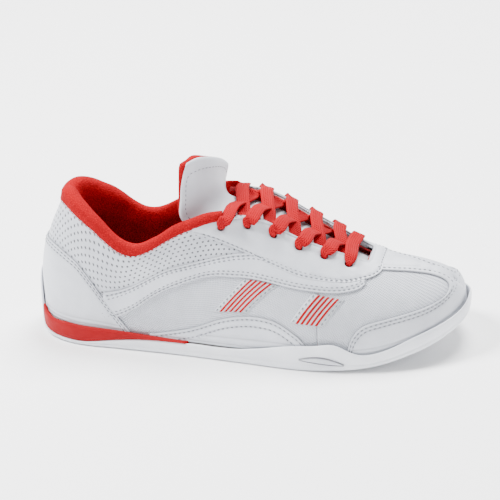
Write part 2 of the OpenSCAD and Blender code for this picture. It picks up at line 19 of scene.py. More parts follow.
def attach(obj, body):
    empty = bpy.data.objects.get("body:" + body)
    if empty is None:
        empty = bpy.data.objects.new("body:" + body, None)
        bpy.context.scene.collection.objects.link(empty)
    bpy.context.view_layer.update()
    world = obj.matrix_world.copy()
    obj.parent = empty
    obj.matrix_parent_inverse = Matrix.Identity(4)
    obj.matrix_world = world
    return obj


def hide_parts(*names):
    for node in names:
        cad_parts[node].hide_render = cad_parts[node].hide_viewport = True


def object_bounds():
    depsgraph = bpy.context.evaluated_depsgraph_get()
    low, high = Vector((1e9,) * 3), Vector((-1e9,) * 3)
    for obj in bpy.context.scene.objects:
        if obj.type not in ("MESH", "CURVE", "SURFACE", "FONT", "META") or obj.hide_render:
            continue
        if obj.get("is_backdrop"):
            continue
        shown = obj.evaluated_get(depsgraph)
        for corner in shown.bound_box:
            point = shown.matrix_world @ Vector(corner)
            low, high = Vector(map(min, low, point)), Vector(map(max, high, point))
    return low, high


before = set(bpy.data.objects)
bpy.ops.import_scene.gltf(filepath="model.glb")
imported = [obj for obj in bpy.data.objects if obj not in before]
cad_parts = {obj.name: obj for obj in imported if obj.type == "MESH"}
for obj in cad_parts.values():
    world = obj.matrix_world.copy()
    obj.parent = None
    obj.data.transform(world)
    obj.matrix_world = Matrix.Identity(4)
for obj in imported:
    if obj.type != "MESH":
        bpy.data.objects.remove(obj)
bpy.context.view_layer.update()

# ---------------------------------------------------------------- the last, as in part.scad
MM = 0.001
SHOE_L = 268
PANEL_T = 1.2
OVERLAY_T = 1.0
LINING_T = 0.8
STIFFENER_T = 0.8
OUTSOLE_T = 2.2
BOARD_T = 1.2
SOCKLINER_T = 3.4
GAP = 0.25
WALL_IN = 1.9
WALL_OUT = 3.6
MID_Y = -1.07
STEP = 0.004
THROAT_U = 0.7
RIDGE_W = 0.05
SIDES = (("lateral", -1), ("medial", 1))

HALF = {
    -1: [0, 20, 31, 34, 37, 42, 46.5, 43, 31, 13, -8],
    1: [0, 20, 31, 32, 29, 28, 36, 44, 43, 31, 8],
}
TOP = {
    -1: [0, 13, 24, 29, 28, 19, 15, 5, -2, -5, -8],
    1: [0, 13, 24, 28, 27, 21, 17, 8, 3, 5, 8],
}
BED_Z = [15, 14, 12.5, 11, 9, 8.5, 9, 9.5, 15.5, 22, 26]
TOP_Z = [88, 89, 80, 64.5, 82, 92, 74, 58, 52, 46, 38]
GROUND_Z = [3, 0.8, 0, 0, 0, 0, 0, 2.2, 9, 15.8, 20.3]
WALL_Z = [38, 16, 14, 12.5, 9.8, 9.8, 17, 11.5, 20.5, 26.5, 31.5]
HEEL_X = [WALL_OUT, WALL_OUT, 8.5, 18.5]
TOE_X = [WALL_OUT, 5.3, 11]


def lerp(a, b, t):
    return a + (b - a) * t


def ease(t):
    c = min(max(t, 0.0), 1.0)
    return c * c * (3 - 2 * c)


def hermite(a, b, m0, m1, f):
    f2, f3 = f * f, f * f * f
    return a * (2 * f3 - 3 * f2 + 1) + m0 * (f3 - 2 * f2 + f) + b * (3 * f2 - 2 * f3) + m1 * (f3 - f2)


def smooth(values, t):
    """Smooth curve through evenly spaced values, for t from 0 to 1."""
    n = len(values) - 1
    s = min(max(t, 0.0), 1.0) * n
    i = min(int(s), n - 1)
    a, b = values[i], values[i + 1]
    m0 = b - a if i == 0 else (b - values[i - 1]) / 2
    m1 = b - a if i == n - 1 else (values[i + 2] - a) / 2
    return hermite(a, b, m0, m1, s - i)


def bezier(a, b, c, d, t):
    r = 1 - t
    return r**3 * a + 3 * r * r * t * b + 3 * r * t * t * c + t**3 * d


def through(points, x):
    """Smooth value at x through (x, value) points."""
    xs = [p[0] for p in points]
    if x <= xs[0]:
        return points[0][1]
    for i in range(len(points) - 1):
        if x <= xs[i + 1]:
            x0, y0 = points[i]
            x1, y1 = points[i + 1]
            before = points[max(i - 1, 0)]
            after = points[min(i + 2, len(points) - 1)]
            m0 = (y1 - before[1]) / (x1 - before[0]) * (x1 - x0)
            m1 = (after[1] - y0) / (after[0] - x0) * (x1 - x0)
            return hermite(y0, y1, m0, m1, (x - x0) / (x1 - x0))
    return points[-1][1]


def side_point(u, side, v):
    along = (1 - math.cos(math.pi * u)) / 2
    x0, x1 = smooth(HEEL_X, v), SHOE_L - smooth(TOE_X, v)
    edge = side * smooth(TOP[side], u)
    z0, z3 = smooth(BED_Z, u), smooth(TOP_Z, u)
    vamp = ease((u - 0.42) / 0.3)
    swell = math.sqrt(max(math.sin(math.pi * u), 0))
    y0 = side * (smooth(HALF[side], u) - 2.5 * swell)
    h = z3 - z0
    return Vector((
        x0 + (x1 - x0) * along - SHOE_L / 2,
        bezier(y0, y0 + side * 1.5 * swell, lerp(edge, y0, 0.12 + 0.5 * vamp), edge, v) - MID_Y,
        bezier(z0, z0 + h * (0.42 + 0.2 * vamp), z3 - h * (0.34 - 0.22 * vamp), z3, v),
    ))


def folded(u):
    return -u if u < 0 else 2 - u if u > 1 else u


def flip(u):
    return -1 if u < 0 or u > 1 else 1


def last_at(u, w):
    f, s = folded(u), w * flip(u)
    if f > THROAT_U and abs(s) < RIDGE_W:
        t = (s + RIDGE_W) / (2 * RIDGE_W)
        return lerp(side_point(f, -1, 1 - RIDGE_W), side_point(f, 1, 1 - RIDGE_W), t)
    return side_point(f, -1 if s < 0 else 1, 1 - abs(s))


def normal_at(u, w):
    wn = 2 * RIDGE_W if folded(u) > 1 - STEP and abs(w) < 2 * RIDGE_W else w
    split = folded(u) <= THROAT_U
    hi = min(wn + STEP, -0.0001) if split and wn < 0 else wn + STEP
    lo = max(wn - STEP, 0.0001) if split and wn >= 0 else wn - STEP
    du = last_at(u + STEP, wn) - last_at(u - STEP, wn)
    return du.cross(last_at(u, hi) - last_at(u, lo)).normalized()


def skin(u, w, d):
    return last_at(u, w) + d * normal_at(u, w)


# Seams, as v above the feather edge at each u.
FOXING_EDGE = [(0, 0.6), (0.1, 0.62), (0.17, 0.615), (0.21, 0.575), (0.26, 0.41), (0.32, 0.02)]
QUARTER_SEAM = [(0.13, 0.03), (0.25, 0.36), (0.35, 0.55), (0.6, 0.57)]
BAND_TOP = [
    (0.24, 0.34), (0.29, 0.47), (0.335, 0.57), (0.38, 0.635), (0.5, 0.655), (0.53, 0.67), (0.59, 0.65),
    (0.66, 0.68), (0.7, 0.78),
]
BAND_LOW = [
    (0.24, 0.05), (0.29, 0.14), (0.33, 0.26), (0.37, 0.4), (0.44, 0.5), (0.5, 0.475), (0.59, 0.475),
    (0.65, 0.51), (0.69, 0.6), (0.7, 0.66),
]
ARCH_TOP = [(0.36, 0.03), (0.42, 0.1), (0.48, 0.19), (0.55, 0.21), (0.59, 0.13), (0.61, 0.04)]
EYESTAY_LOW = [(0.41, 0.94), (0.5, 0.67), (0.59, 0.58), (0.66, 0.62), (0.7, 0.72), (0.73, 0.86)]
EYELETS = [(0.462, 0.11), (0.503, 0.125), (0.544, 0.14), (0.585, 0.15), (0.626, 0.155), (0.667, 0.16)]
EYELET_D = 4.9


def edge_w(u):
    """Half width of the throat, as w."""
    return RIDGE_W * ease((u - 0.42) / 0.08) + 0.004


# ------------------------------------------------------------------- flat chart of the upper
def girth(u):
    return smooth([76, 78, 72, 60, 84, 86, 76, 66, 52, 42, 34], u)


def chart(u, w):
    """Lays the upper out flat, in millimetres, fanned out from its top edge."""
    f, s = folded(u), w * flip(u)
    if f > THROAT_U and abs(s) < RIDGE_W:
        a, b = chart(f, -RIDGE_W), chart(f, RIDGE_W)
        return a.lerp(b, (s + RIDGE_W) / (2 * RIDGE_W))
    side = -1 if s < 0 else 1
    g = abs(s) * girth(f)
    x = 13 + (SHOE_L - 24) * (1 - math.cos(math.pi * f)) / 2
    half_gap = max((smooth(TOP[1], f) + smooth(TOP[-1], f)) / 2, 0)
    return Vector((
        x - g * math.cos(math.pi * f),
        side * (half_gap + g * math.sin(math.pi * f)),
    ))


def laid_flat(path):
    return np.array([chart(*p)[:] for p in path])


def moved(p, d):
    """The place (u, w) that lies d, in millimetres of the chart, away from p."""
    e = 0.002
    if folded(p[0]) > THROAT_U and abs(p[1]) < RIDGE_W:
        e = 0.0005
    c = chart(*p)
    cu = (chart(p[0] + e, p[1]) - c) / e
    cw = (chart(p[0], p[1] + e) - c) / e
    det = cu.x * cw.y - cu.y * cw.x
    if abs(det) < 1e-6:
        return p
    return (p[0] + (d.x * cw.y - d.y * cw.x) / det, p[1] + (cu.x * d.y - cu.y * d.x) / det)


def even(path, spacing=1.6):
    """The path again, in even steps of the chart."""
    flat = [chart(*p) for p in path]
    run = [0.0]
    for a, b in zip(flat, flat[1:]):
        run.append(run[-1] + (b - a).length)
    count = max(int(round(run[-1] / spacing)), 2)
    steps = np.linspace(0, run[-1], count + 1)
    us = np.interp(steps, run, [p[0] for p in path])
    ws = np.interp(steps, run, [p[1] for p in path])
    return list(zip(us.tolist(), ws.tolist()))


def spline(points):
    """Even steps along a smooth curve through (u, w) points."""
    fine = []
    for i in range(len(points) - 1):
        p0, p1, p2 = points[max(i - 1, 0)], points[i], points[i + 1]
        p3 = points[min(i + 2, len(points) - 1)]
        for k in range(12):
            t = k / 12
            fine.append(tuple(
                0.5 * (2 * b + (c - a) * t + (2 * a - 5 * b + 4 * c - d) * t * t
                       + (3 * b - a - 3 * c + d) * t**3)
                for a, b, c, d in zip(p0, p1, p2, p3)
            ))
    return even(fine + [points[-1]])


def level(w, u0, u1, n=40):
    """Even steps from u0 to u1, where w is a number or a function of u."""
    return even([(u, w(u) if callable(w) else w) for u in np.linspace(u0, u1, n).tolist()])


def edge_curve(seam, side, u0, u1, n=40):
    """A seam given as v at each u, as (u, w) points on one side."""
    return [(u, side * (1 - through(seam, abs(u)))) for u in np.linspace(u0, u1, n).tolist()]


def joined_loop(*paths):
    loop = []
    for path in paths:
        for p in path:
            if not loop or (chart(*p) - chart(*loop[-1])).length > 0.5:
                loop.append(p)
    if (chart(*loop[0]) - chart(*loop[-1])).length < 0.5:
        loop.pop()
    return loop


def inset(path, d, closed=True):
    """The path moved d to its left, in millimetres."""
    flat = [chart(*p) for p in path]
    n = len(path)
    made = []
    for i, p in enumerate(path):
        a = flat[(i - 1) % n] if closed or i > 0 else flat[i]
        b = flat[(i + 1) % n] if closed or i < n - 1 else flat[i]
        t = b - a
        if t.length < 1e-6:
            made.append(p)
            continue
        t.normalize()
        made.append(moved(p, Vector((-t.y, t.x)) * d))
    return made


def area_sign(flat):
    x, y = flat[:, 0], flat[:, 1]
    return np.sum(x * np.roll(y, -1) - np.roll(x, -1) * y)


def inside(flat, points):
    """Which points lie inside the closed outline."""
    hit = np.zeros(len(points), bool)
    a, b = flat, np.roll(flat, -1, axis=0)
    for (x0, y0), (x1, y1) in zip(a, b):
        if y0 == y1:
            continue
        cross = (points[:, 1] < y0) != (points[:, 1] < y1)
        hit ^= cross & (points[:, 0] < (x1 - x0) * (points[:, 1] - y0) / (y1 - y0) + x0)
    return hit


def far_from(flat, points, d):
    """Which points are at least d away from the corners of the outline."""
    if not len(points):
        return np.zeros(0, bool)
    gaps = np.linalg.norm(points[:, None, :] - flat[None, :, :], axis=2)
    return gaps.min(axis=1) >= d


# ---------------------------------------------------------------------------- mesh helpers
def make_object(name, verts, faces, material, body, replaces=(), uvs=None, rim=None, subdivide=0):
    """A smooth closed mesh, from vertices in millimetres, that rides on a CAD body."""
    mesh = bpy.data.meshes.new(name)
    mesh.from_pydata([tuple(c * MM for c in v) for v in verts], [], [tuple(f) for f in faces])
    if uvs is not None:
        layer = mesh.uv_layers.new(name="UVMap")
        for loop in mesh.loops:
            layer.data[loop.index].uv = uvs[loop.vertex_index]
    # rim is a point attribute of painted shade: 1 at cut edges and eyelets, less in stitch grooves, 0 on
    # open leather.
    if rim is not None:
        mesh.attributes.new("rim", "FLOAT", "POINT").data.foreach_set("value", rim)
    bm = bmesh.new()
    bm.from_mesh(mesh)
    bmesh.ops.recalc_face_normals(bm, faces=bm.faces)
    bm.to_mesh(mesh)
    bm.free()
    mesh.polygons.foreach_set("use_smooth", [True] * len(mesh.polygons))
    mesh.materials.append(material)
    obj = bpy.data.objects.new(name, mesh)
    bpy.context.scene.collection.objects.link(obj)
    if subdivide:
        sub = obj.modifiers.new("Subdivision", "SUBSURF")
        sub.levels = sub.render_levels = subdivide
    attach(obj, body)
    if replaces:
        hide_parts(*replaces)
    return obj


def circle_hole(centre, radius, count=20):
    """An eyelet outline, clockwise, as (u, w)."""
    turns = [-2 * math.pi * i / count for i in range(count)]
    return [moved(centre, Vector((math.cos(a), math.sin(a))) * radius) for a in turns]


CHART_GIRTH = 62
CHART_L = 330


def panel(name, outline, low, high, material, replaces,
          rim=0.35, grooves=(), holes=(), crease=0.0, pitch=3.0):
    """A panel cut to an outline, laid over the last between two heights, with rounded edges,
    a shallow groove under each stitch row and open eyelets."""
    flat = laid_flat(outline)
    if area_sign(flat) < 0:
        outline, flat = outline[::-1], flat[::-1]
    depth = high - low
    # Each ring is (inset, drop, painted shade); the painted shade goes into the rim attribute and darkens
    # the leather at cut edges, eyelets and stitch grooves.
    rings = [(rim * 0.3, -rim * 0.3, 0.6), (rim, 0.0, 0.2)]
    for g in grooves:
        rings += [(g - 0.7, 0.0, 0), (g, -0.4, 0.4), (g + 0.7, 0.0, 0)]
    places, drops, edge_shades, flats = list(outline), [-rim] * len(outline), [1.0] * len(outline), [flat]
    for d, drop, shade in rings:
        ring = inset(outline, d)
        at = laid_flat(ring)
        keep = inside(flat, at) & far_from(flat, at, d * 0.92 if d > 0.6 else 0)
        places += [p for p, k in zip(ring, keep) if k]
        drops += [drop] * int(keep.sum())
        edge_shades += [shade] * int(keep.sum())
        flats.append(at[keep])
    edges = [(i, (i + 1) % len(outline)) for i in range(len(outline))]
    for hole in holes:
        start = len(places)
        at = laid_flat(hole)
        places += hole
        drops += [-rim] * len(hole)
        edge_shades += [1.0] * len(hole)
        edges += [(start + i, start + (i + 1) % len(hole)) for i in range(len(hole))]
        flats.append(at)
        wide = inset(hole, rim * 1.2)
        places += wide
        drops += [0.0] * len(wide)
        edge_shades += [0.3] * len(wide)
        flats.append(laid_flat(wide))
    us = [p[0] for p in outline]
    ws = [p[1] for p in outline]
    grid = []
    rows = int((max(ws) - min(ws)) * CHART_GIRTH / pitch) + 1
    columns = int((max(us) - min(us)) * CHART_L / pitch) + 1
    for i in range(columns + 1):
        for j in range(rows + 1):
            grid.append((
                lerp(min(us), max(us), (i + 0.5 * (j % 2)) / columns),
                lerp(min(ws), max(ws), j / rows),
            ))
    at = laid_flat(grid)
    keep = inside(flat, at)
    near = np.concatenate(flats)
    keep[keep] = far_from(near, at[keep], pitch * 0.36)
    places += [p for p, k in zip(grid, keep) if k]
    drops += [0.0] * int(keep.sum())
    edge_shades += [0.0] * int(keep.sum())
    flats.append(at[keep])
    all_flat = np.concatenate(flats)
    out = delaunay_2d_cdt([Vector(p) for p in all_flat], edges, [], 0, 1e-5, True)
    points, triangles, origin = out[0], out[2], out[3]
    middles = np.array([sum((points[k] for k in t), Vector((0, 0))) / 3 for t in triangles])
    good = inside(flat, middles)
    for hole in holes:
        good &= ~inside(laid_flat(hole), middles)
    triangles = [t for t, g in zip(triangles, good) if g]
    used = sorted({k for t in triangles for k in t if origin[k]})
    triangles = [t for t in triangles if all(origin[k] for k in t)]
    index = {k: i for i, k in enumerate(used)}
    verts_top, verts_low, uvs, shades = [], [], [], []
    for k in used:
        o = origin[k][0]
        u, w = places[o]
        base, normal = last_at(u, w), normal_at(u, w)
        wave = crease * noise.noise(base * 0.07) if drops[o] == 0.0 else 0.0
        verts_top.append(base + normal * (high + drops[o] + wave))
        verts_low.append(base + normal * low)
        uvs.append(tuple(all_flat[o]))
        shades.append(edge_shades[o])
    n = len(used)
    tris = [[index[k] for k in t] for t in triangles]
    count = {}
    for t in tris:
        for a, b in ((t[0], t[1]), (t[1], t[2]), (t[2], t[0])):
            count[(a, b)] = count.get((a, b), 0) + 1
    walls = [(b, a, a + n, b + n) for (a, b) in count if (b, a) not in count]
    faces = tris + [(t[2] + n, t[1] + n, t[0] + n) for t in tris] + walls
    return make_object(
        name, verts_top + verts_low, faces, material, "shoe", replaces, uvs * 2, shades + [1.0] * n
    )


def slab_faces(ni, nj):
    """Faces of a closed sheet between two grids of (ni + 1) x (nj + 1) points."""
    below = (ni + 1) * (nj + 1)
    faces = []
    for i in range(ni):
        for j in range(nj):
            a = i * (nj + 1) + j
            b, c, d = a + nj + 1, a + nj + 2, a + 1
            faces += [(a, b, c, d), (a + below, d + below, c + below, b + below)]
    rim = [i * (nj + 1) for i in range(ni + 1)] + [ni * (nj + 1) + j for j in range(1, nj + 1)]
    rim += [i * (nj + 1) + nj for i in range(ni - 1, -1, -1)] + [j for j in range(nj - 1, 0, -1)]
    for a, b in zip(rim, rim[1:] + rim[:1]):
        faces.append((b, a, a + below, b + below))
    return faces


def slab(name, outer, inner, material, body, replaces=(), uvs=None):
    ni, nj = len(outer) - 1, len(outer[0]) - 1
    verts = [p for row in outer for p in row] + [p for row in inner for p in row]
    if uvs is not None:
        uvs = [p for row in uvs for p in row] * 2
    return make_object(name, verts, slab_faces(ni, nj), material, body, replaces, uvs)


STITCH_SIDES = 6
STITCH_RINGS = [(-0.5, 0.0), (-0.36, 0.8), (0.0, 1.0), (0.36, 0.8), (0.5, 0.0)]


def stitch_mesh(rows, length=1.8, pitch=3.0, radius=0.36):
    """Vertices and faces of the stitches along rows of (points, normals), in millimetres."""
    verts, faces = [], []
    for points, normals in rows:
        run = [0.0]
        for a, b in zip(points, points[1:]):
            run.append(run[-1] + (b - a).length)
        count = max(int(run[-1] / pitch), 1)
        for k in range(count):
            mid = (k + 0.5) * run[-1] / count
            ends = []
            for s in (mid - length / 2, mid + length / 2):
                ends.append(Vector([np.interp(s, run, [p[c] for p in points]) for c in range(3)]))
            normal = Vector([np.interp(mid, run, [p[c] for p in normals]) for c in range(3)]).normalized()
            along = ends[1] - ends[0]
            across = along.normalized().cross(normal)
            first = len(verts)
            for t, r in STITCH_RINGS:
                centre = (ends[0] + ends[1]) / 2 + along * t + normal * (0.12 * r)
                if r == 0:
                    verts.append(centre)
                    continue
                for q in range(STITCH_SIDES):
                    turn = 2 * math.pi * q / STITCH_SIDES
                    spoke = across * math.cos(turn) + normal * 0.7 * math.sin(turn)
                    verts.append(centre + radius * r * spoke)
            rings = [first + 1 + STITCH_SIDES * i for i in range(3)]
            last = first + 1 + 3 * STITCH_SIDES
            for q in range(STITCH_SIDES):
                p = (q + 1) % STITCH_SIDES
                faces.append((first, rings[0] + p, rings[0] + q))
                for a, b in zip(rings, rings[1:]):
                    faces.append((a + q, a + p, b + p, b + q))
                faces.append((last, rings[2] + q, rings[2] + p))
    return verts, faces


def seam(path, offsets, height):
    """Stitch rows beside a seam, at offsets to its left."""
    rows = []
    for d in offsets:
        shifted = inset(path, d, closed=False)
        rows.append((
            [skin(u, w, height) for u, w in shifted],
            [normal_at(u, w) for u, w in shifted],
        ))
    return rows


# ------------------------------------------------------------------------------- materials
class Nodes:
    """Short names for the shader nodes of one material."""

    def __init__(self, name):
        self.material = bpy.data.materials.new(name)
        self.material.use_nodes = True
        self.tree = self.material.node_tree
        self.shader = self.tree.nodes["Principled BSDF"]

    def add(self, kind, **settings):
        node = self.tree.nodes.new(kind)
        for key, value in settings.items():
            setattr(node, key, value)
        return node

    def link(self, a, b):
        self.tree.links.new(a, b)

    def maths(self, operation, a, b=0.0, c=0.0):
        node = self.add("ShaderNodeMath", operation=operation)
        for socket, value in zip(node.inputs, (a, b, c)):
            if isinstance(value, (int, float)):
                socket.default_value = value
            else:
                self.link(value, socket)
        return node.outputs[0]

    def place(self):
        return self.add("ShaderNodeTexCoord").outputs["Object"]

    def noise(self, scale, detail=3.0, rough=0.55):
        node = self.add("ShaderNodeTexNoise")
        node.inputs["Scale"].default_value = scale
        node.inputs["Detail"].default_value = detail
        node.inputs["Roughness"].default_value = rough
        self.link(self.place(), node.inputs["Vector"])
        return node.outputs["Fac"]

    def cells(self, scale):
        node = self.add("ShaderNodeTexVoronoi", feature="DISTANCE_TO_EDGE")
        node.inputs["Scale"].default_value = scale
        self.link(self.place(), node.inputs["Vector"])
        return node.outputs["Distance"]

    def uv(self):
        split = self.add("ShaderNodeSeparateXYZ")
        self.link(self.add("ShaderNodeUVMap", uv_map="UVMap").outputs[0], split.inputs[0])
        return split.outputs[0], split.outputs[1]

    def mix(self, fac, a, b):
        node = self.add("ShaderNodeMix", data_type="RGBA")
        for socket, value in ((node.inputs[0], fac), (node.inputs[6], a), (node.inputs[7], b)):
            if isinstance(value, tuple):
                socket.default_value = (*value, 1)
            elif isinstance(value, (int, float)):
                socket.default_value = value
            else:
                self.link(value, socket)
        return node.outputs[2]

    def ranged(self, value, low, high, to_low=0.0, to_high=1.0):
        node = self.add("ShaderNodeMapRange")
        self.link(value, node.inputs[0])
        for i, number in enumerate((low, high, to_low, to_high), 1):
            node.inputs[i].default_value = number
        return node.outputs[0]

    def bump(self, height, distance, strength=1.0, after=None):
        node = self.add("ShaderNodeBump")
        node.inputs["Strength"].default_value = strength
        node.inputs["Distance"].default_value = distance
        self.link(height, node.inputs["Height"])
        if after is not None:
            self.link(after, node.inputs["Normal"])
        return node.outputs[0]

    def attribute(self, name):
        return self.add("ShaderNodeAttribute", attribute_name=name).outputs["Fac"]

    def finish(self, colour, roughness, normal, **constants):
        self.link(colour, self.shader.inputs["Base Color"])
        if isinstance(roughness, float):
            self.shader.inputs["Roughness"].default_value = roughness
        else:
            self.link(roughness, self.shader.inputs["Roughness"])
        self.link(normal, self.shader.inputs["Normal"])
        for key, value in constants.items():
            self.shader.inputs[key.replace("_", " ")].default_value = value
        return self.material


def leather(name, light, dark, perforated=False):
    """Smooth coated leather with fine grain, faint mottling, and painted shade that darkens its cut edges,
    eyelet rims and stitch grooves.
    """
    m = Nodes(name)
    grain = m.maths("MULTIPLY", m.ranged(m.cells(1100), 0.0, 0.25), 0.6)
    fine = m.maths("ADD", grain, m.noise(1800, 4))
    colour = m.mix(m.ranged(m.noise(55, 4), 0.35, 0.7), light, dark)
    shade = tuple(c * 0.5 for c in dark)
    # Painted shade: the rim attribute darkens the cut edges, eyelet rims and stitch grooves towards half the
    # dark tone.
    colour = m.mix(m.maths("MULTIPLY", m.attribute("rim"), 0.85), colour, shade)
    normal = m.bump(fine, 0.00012, 0.35)
    normal = m.bump(m.noise(90, 2), 0.0012, 0.12, normal)
    if perforated:
        dots = dot_rows(m, 3.7, 3.3, 0.78)
        # Painted shade: the perforation holes are coloured dark for the shade inside them.
        colour = m.mix(dots, colour, tuple(c * 0.2 for c in dark))
        normal = m.bump(m.maths("SUBTRACT", 1.0, dots), 0.0006, 0.8, normal)
    rough = m.ranged(m.noise(300, 2), 0.3, 0.7, 0.4, 0.52)
    return m.finish(colour, rough, normal, Coat_Weight=0.12, Coat_Roughness=0.35, Specular_IOR_Level=0.45)


def dot_rows(m, pitch, row, radius):
    """Staggered rows of round dots in the flat chart, 1 in a dot and 0 outside, in millimetres."""
    x, y = m.uv()
    level = m.maths("DIVIDE", y, row)
    odd = m.maths("MODULO", m.maths("FLOOR", m.maths("ADD", level, 100.0)), 2.0)
    across = m.maths("ADD", m.maths("DIVIDE", x, pitch), m.maths("MULTIPLY", odd, 0.5))
    dx = m.maths("MULTIPLY", m.maths("SUBTRACT", m.maths("FRACT", across), 0.5), pitch)
    dy = m.maths("MULTIPLY", m.maths("SUBTRACT", m.maths("FRACT", level), 0.5), row)
    away = m.maths("SQRT", m.maths("ADD", m.maths("MULTIPLY", dx, dx), m.maths("MULTIPLY", dy, dy)))
    return m.ranged(away, radius, radius * 0.7)


def weave(m, pitch_x, pitch_y):
    """Crossing threads in the flat chart: 1 on top of a thread and 0 in the holes between."""
    x, y = m.uv()
    a = m.maths("SINE", m.maths("MULTIPLY", x, 2 * math.pi / pitch_x))
    b = m.maths("SINE", m.maths("MULTIPLY", y, 2 * math.pi / pitch_y))
    return m.ranged(m.maths("MAXIMUM", a, b), -0.6, 0.8)


def fabric(name, light, dark, pitch, depth, sheen=0.25):
    """Woven cloth whose thread pattern follows the flat chart."""
    m = Nodes(name)
    threads = weave(m, pitch, pitch)
    mottled = m.mix(m.ranged(m.noise(130, 3), 0.35, 0.7), light, tuple(c * 0.9 for c in light))
    # Painted shade: the holes between the threads take the dark colour.
    colour = m.mix(threads, dark, mottled)
    normal = m.bump(threads, depth)
    normal = m.bump(m.noise(2200, 3), 0.00008, 0.5, normal)
    return m.finish(colour, 0.72, normal, Sheen_Weight=sheen, Sheen_Roughness=0.45, Specular_IOR_Level=0.3)


def knit(name, light, dark, scale=900, depth=0.00035, sheen=0.45):
    """Brushed knit without a chart: small loops from stretched cells, with soft mottling."""
    m = Nodes(name)
    loops = m.ranged(m.cells(scale), 0.0, 0.3)
    # Painted shade: the gaps between the loops take the dark colour.
    colour = m.mix(loops, dark, light)
    colour = m.mix(m.ranged(m.noise(70, 3), 0.4, 0.75, 0.0, 0.35), colour, dark)
    normal = m.bump(loops, depth, 0.7)
    normal = m.bump(m.noise(2600, 3), 0.0001, 0.6, normal)
    return m.finish(colour, 0.82, normal, Sheen_Weight=sheen, Sheen_Roughness=0.5, Specular_IOR_Level=0.08)


def rubber(name, light, dark, rough=0.4, milky=0.0, tread=False, shine=0.5):
    """Moulded rubber or foam with a faint texture; milky rubber lets light in."""
    m = Nodes(name)
    colour = m.mix(m.ranged(m.noise(60, 4), 0.35, 0.7), light, dark)
    normal = m.bump(m.noise(1400, 4), 0.0001, 0.4)
    if tread:
        split = m.add("ShaderNodeSeparateXYZ")
        m.link(m.place(), split.inputs[0])
        zigzag = m.maths("PINGPONG", split.outputs[1], 0.006)
        wave = m.maths("SINE", m.maths("MULTIPLY", m.maths("ADD", split.outputs[0], zigzag), 1250.0))
        down = m.add("ShaderNodeSeparateXYZ")
        m.link(m.add("ShaderNodeNewGeometry").outputs["Normal"], down.inputs[0])
        under = m.ranged(down.outputs[2], -0.75, -0.9)
        ribs = m.maths("MULTIPLY", m.ranged(wave, -0.35, 0.1), under)
        normal = m.bump(ribs, 0.0012, 0.9, normal)
        # Painted shade: the grooves between the tread ribs on the underside are darkened.
        colour = m.mix(m.maths("MULTIPLY", m.maths("SUBTRACT", under, ribs), 0.35), colour, dark)
    constants = {"Specular_IOR_Level": shine, "Subsurface_Weight": milky}
    rough = m.ranged(m.noise(240, 3), 0.3, 0.7, rough - 0.06, rough + 0.08)
    made = m.finish(colour, rough, normal, **constants)
    m.shader.inputs["Subsurface Radius"].default_value = (0.004, 0.004, 0.004)
    return made


def ribbon(name, light, dark):
    """Flat braided lace: slanted threads that meet in the middle. The chart is (along, across)."""
    m = Nodes(name)
    x, y = m.uv()
    slant = m.maths("ADD", x, m.maths("MULTIPLY", m.maths("ABSOLUTE", y), 0.9))
    ribs = m.maths("SINE", m.maths("MULTIPLY", slant, 2 * math.pi / 1.5))
    cords = m.maths("SINE", m.maths("MULTIPLY", y, 2 * math.pi / 1.3))
    threads = m.ranged(m.maths("ADD", ribs, m.maths("MULTIPLY", cords, 0.7)), -1.4, 1.3)
    # Painted shade: the grooves between the threads take the dark colour.
    colour = m.mix(threads, dark, light)
    colour = m.mix(m.ranged(m.noise(120, 3), 0.4, 0.8, 0.0, 0.3), colour, dark)
    normal = m.bump(threads, 0.00045, 0.9)
    normal = m.bump(m.noise(2500, 3), 0.0001, 0.5, normal)
    return m.finish(colour, 0.75, normal, Sheen_Weight=0.02, Sheen_Roughness=0.4, Specular_IOR_Level=0.08)


def thread(name, light, dark):
    """Twisted sewing thread."""
    m = Nodes(name)
    twist = m.noise(1500, 2)
    colour = m.mix(m.ranged(twist, 0.35, 0.65), light, dark)
    return m.finish(colour, 0.6, m.bump(twist, 0.0001, 0.6), Sheen_Weight=0.2)


WHITE = leather("white_leather", (0.58, 0.6, 0.65), (0.5, 0.52, 0.57))
PERFORATED = leather("perforated_leather", (0.55, 0.57, 0.62), (0.47, 0.49, 0.54), perforated=True)
MESH = fabric("white_mesh", (0.58, 0.6, 0.65), (0.4, 0.42, 0.48), 1.35, 0.0003, 0.1)
STRIPE_BASE = fabric("stripe_base", (0.6, 0.62, 0.66), (0.48, 0.5, 0.54), 0.8, 0.00015, 0.1)
COLLAR = knit("collar_knit", (0.4, 0.001, 0.006), (0.22, 0.0005, 0.003), sheen=0)
TONGUE_RED = knit("tongue_knit", (0.4, 0.001, 0.006), (0.22, 0.0005, 0.003), sheen=0)
RED_LINING = fabric("red_lining", (0.55, 0.012, 0.02), (0.3, 0.006, 0.01), 1.4, 0.00035, 0.3)
LACE = ribbon("red_lace", (0.45, 0.002, 0.009), (0.22, 0.001, 0.004))
STRIPE = rubber("stripe_print", (0.36, 0.002, 0.007), (0.27, 0.001, 0.004), 0.6, shine=0.12)
OUTSOLE = rubber("milky_rubber", (0.76, 0.78, 0.82), (0.68, 0.7, 0.75), 0.34, 0.2, tread=True)
WEDGE = rubber("red_foam", (0.3, 0.001, 0.005), (0.23, 0.001, 0.004), 0.6, shine=0.12)
MIDSOLE = rubber("midsole_foam", (0.78, 0.78, 0.78), (0.66, 0.66, 0.67), 0.6)
WINDOW = rubber("window_insert", (0.62, 0.64, 0.68), (0.5, 0.52, 0.57), 0.25, 0.2)
WINDOW_RIM = rubber("window_rim", (0.16, 0.165, 0.18), (0.12, 0.12, 0.14), 0.4)
BOARD = fabric("insole_board", (0.68, 0.62, 0.5), (0.5, 0.44, 0.34), 1.1, 0.0002)
INSOLE = knit("insole_cloth", (0.62, 0.03, 0.04), (0.4, 0.015, 0.02), 1300, 0.0002)
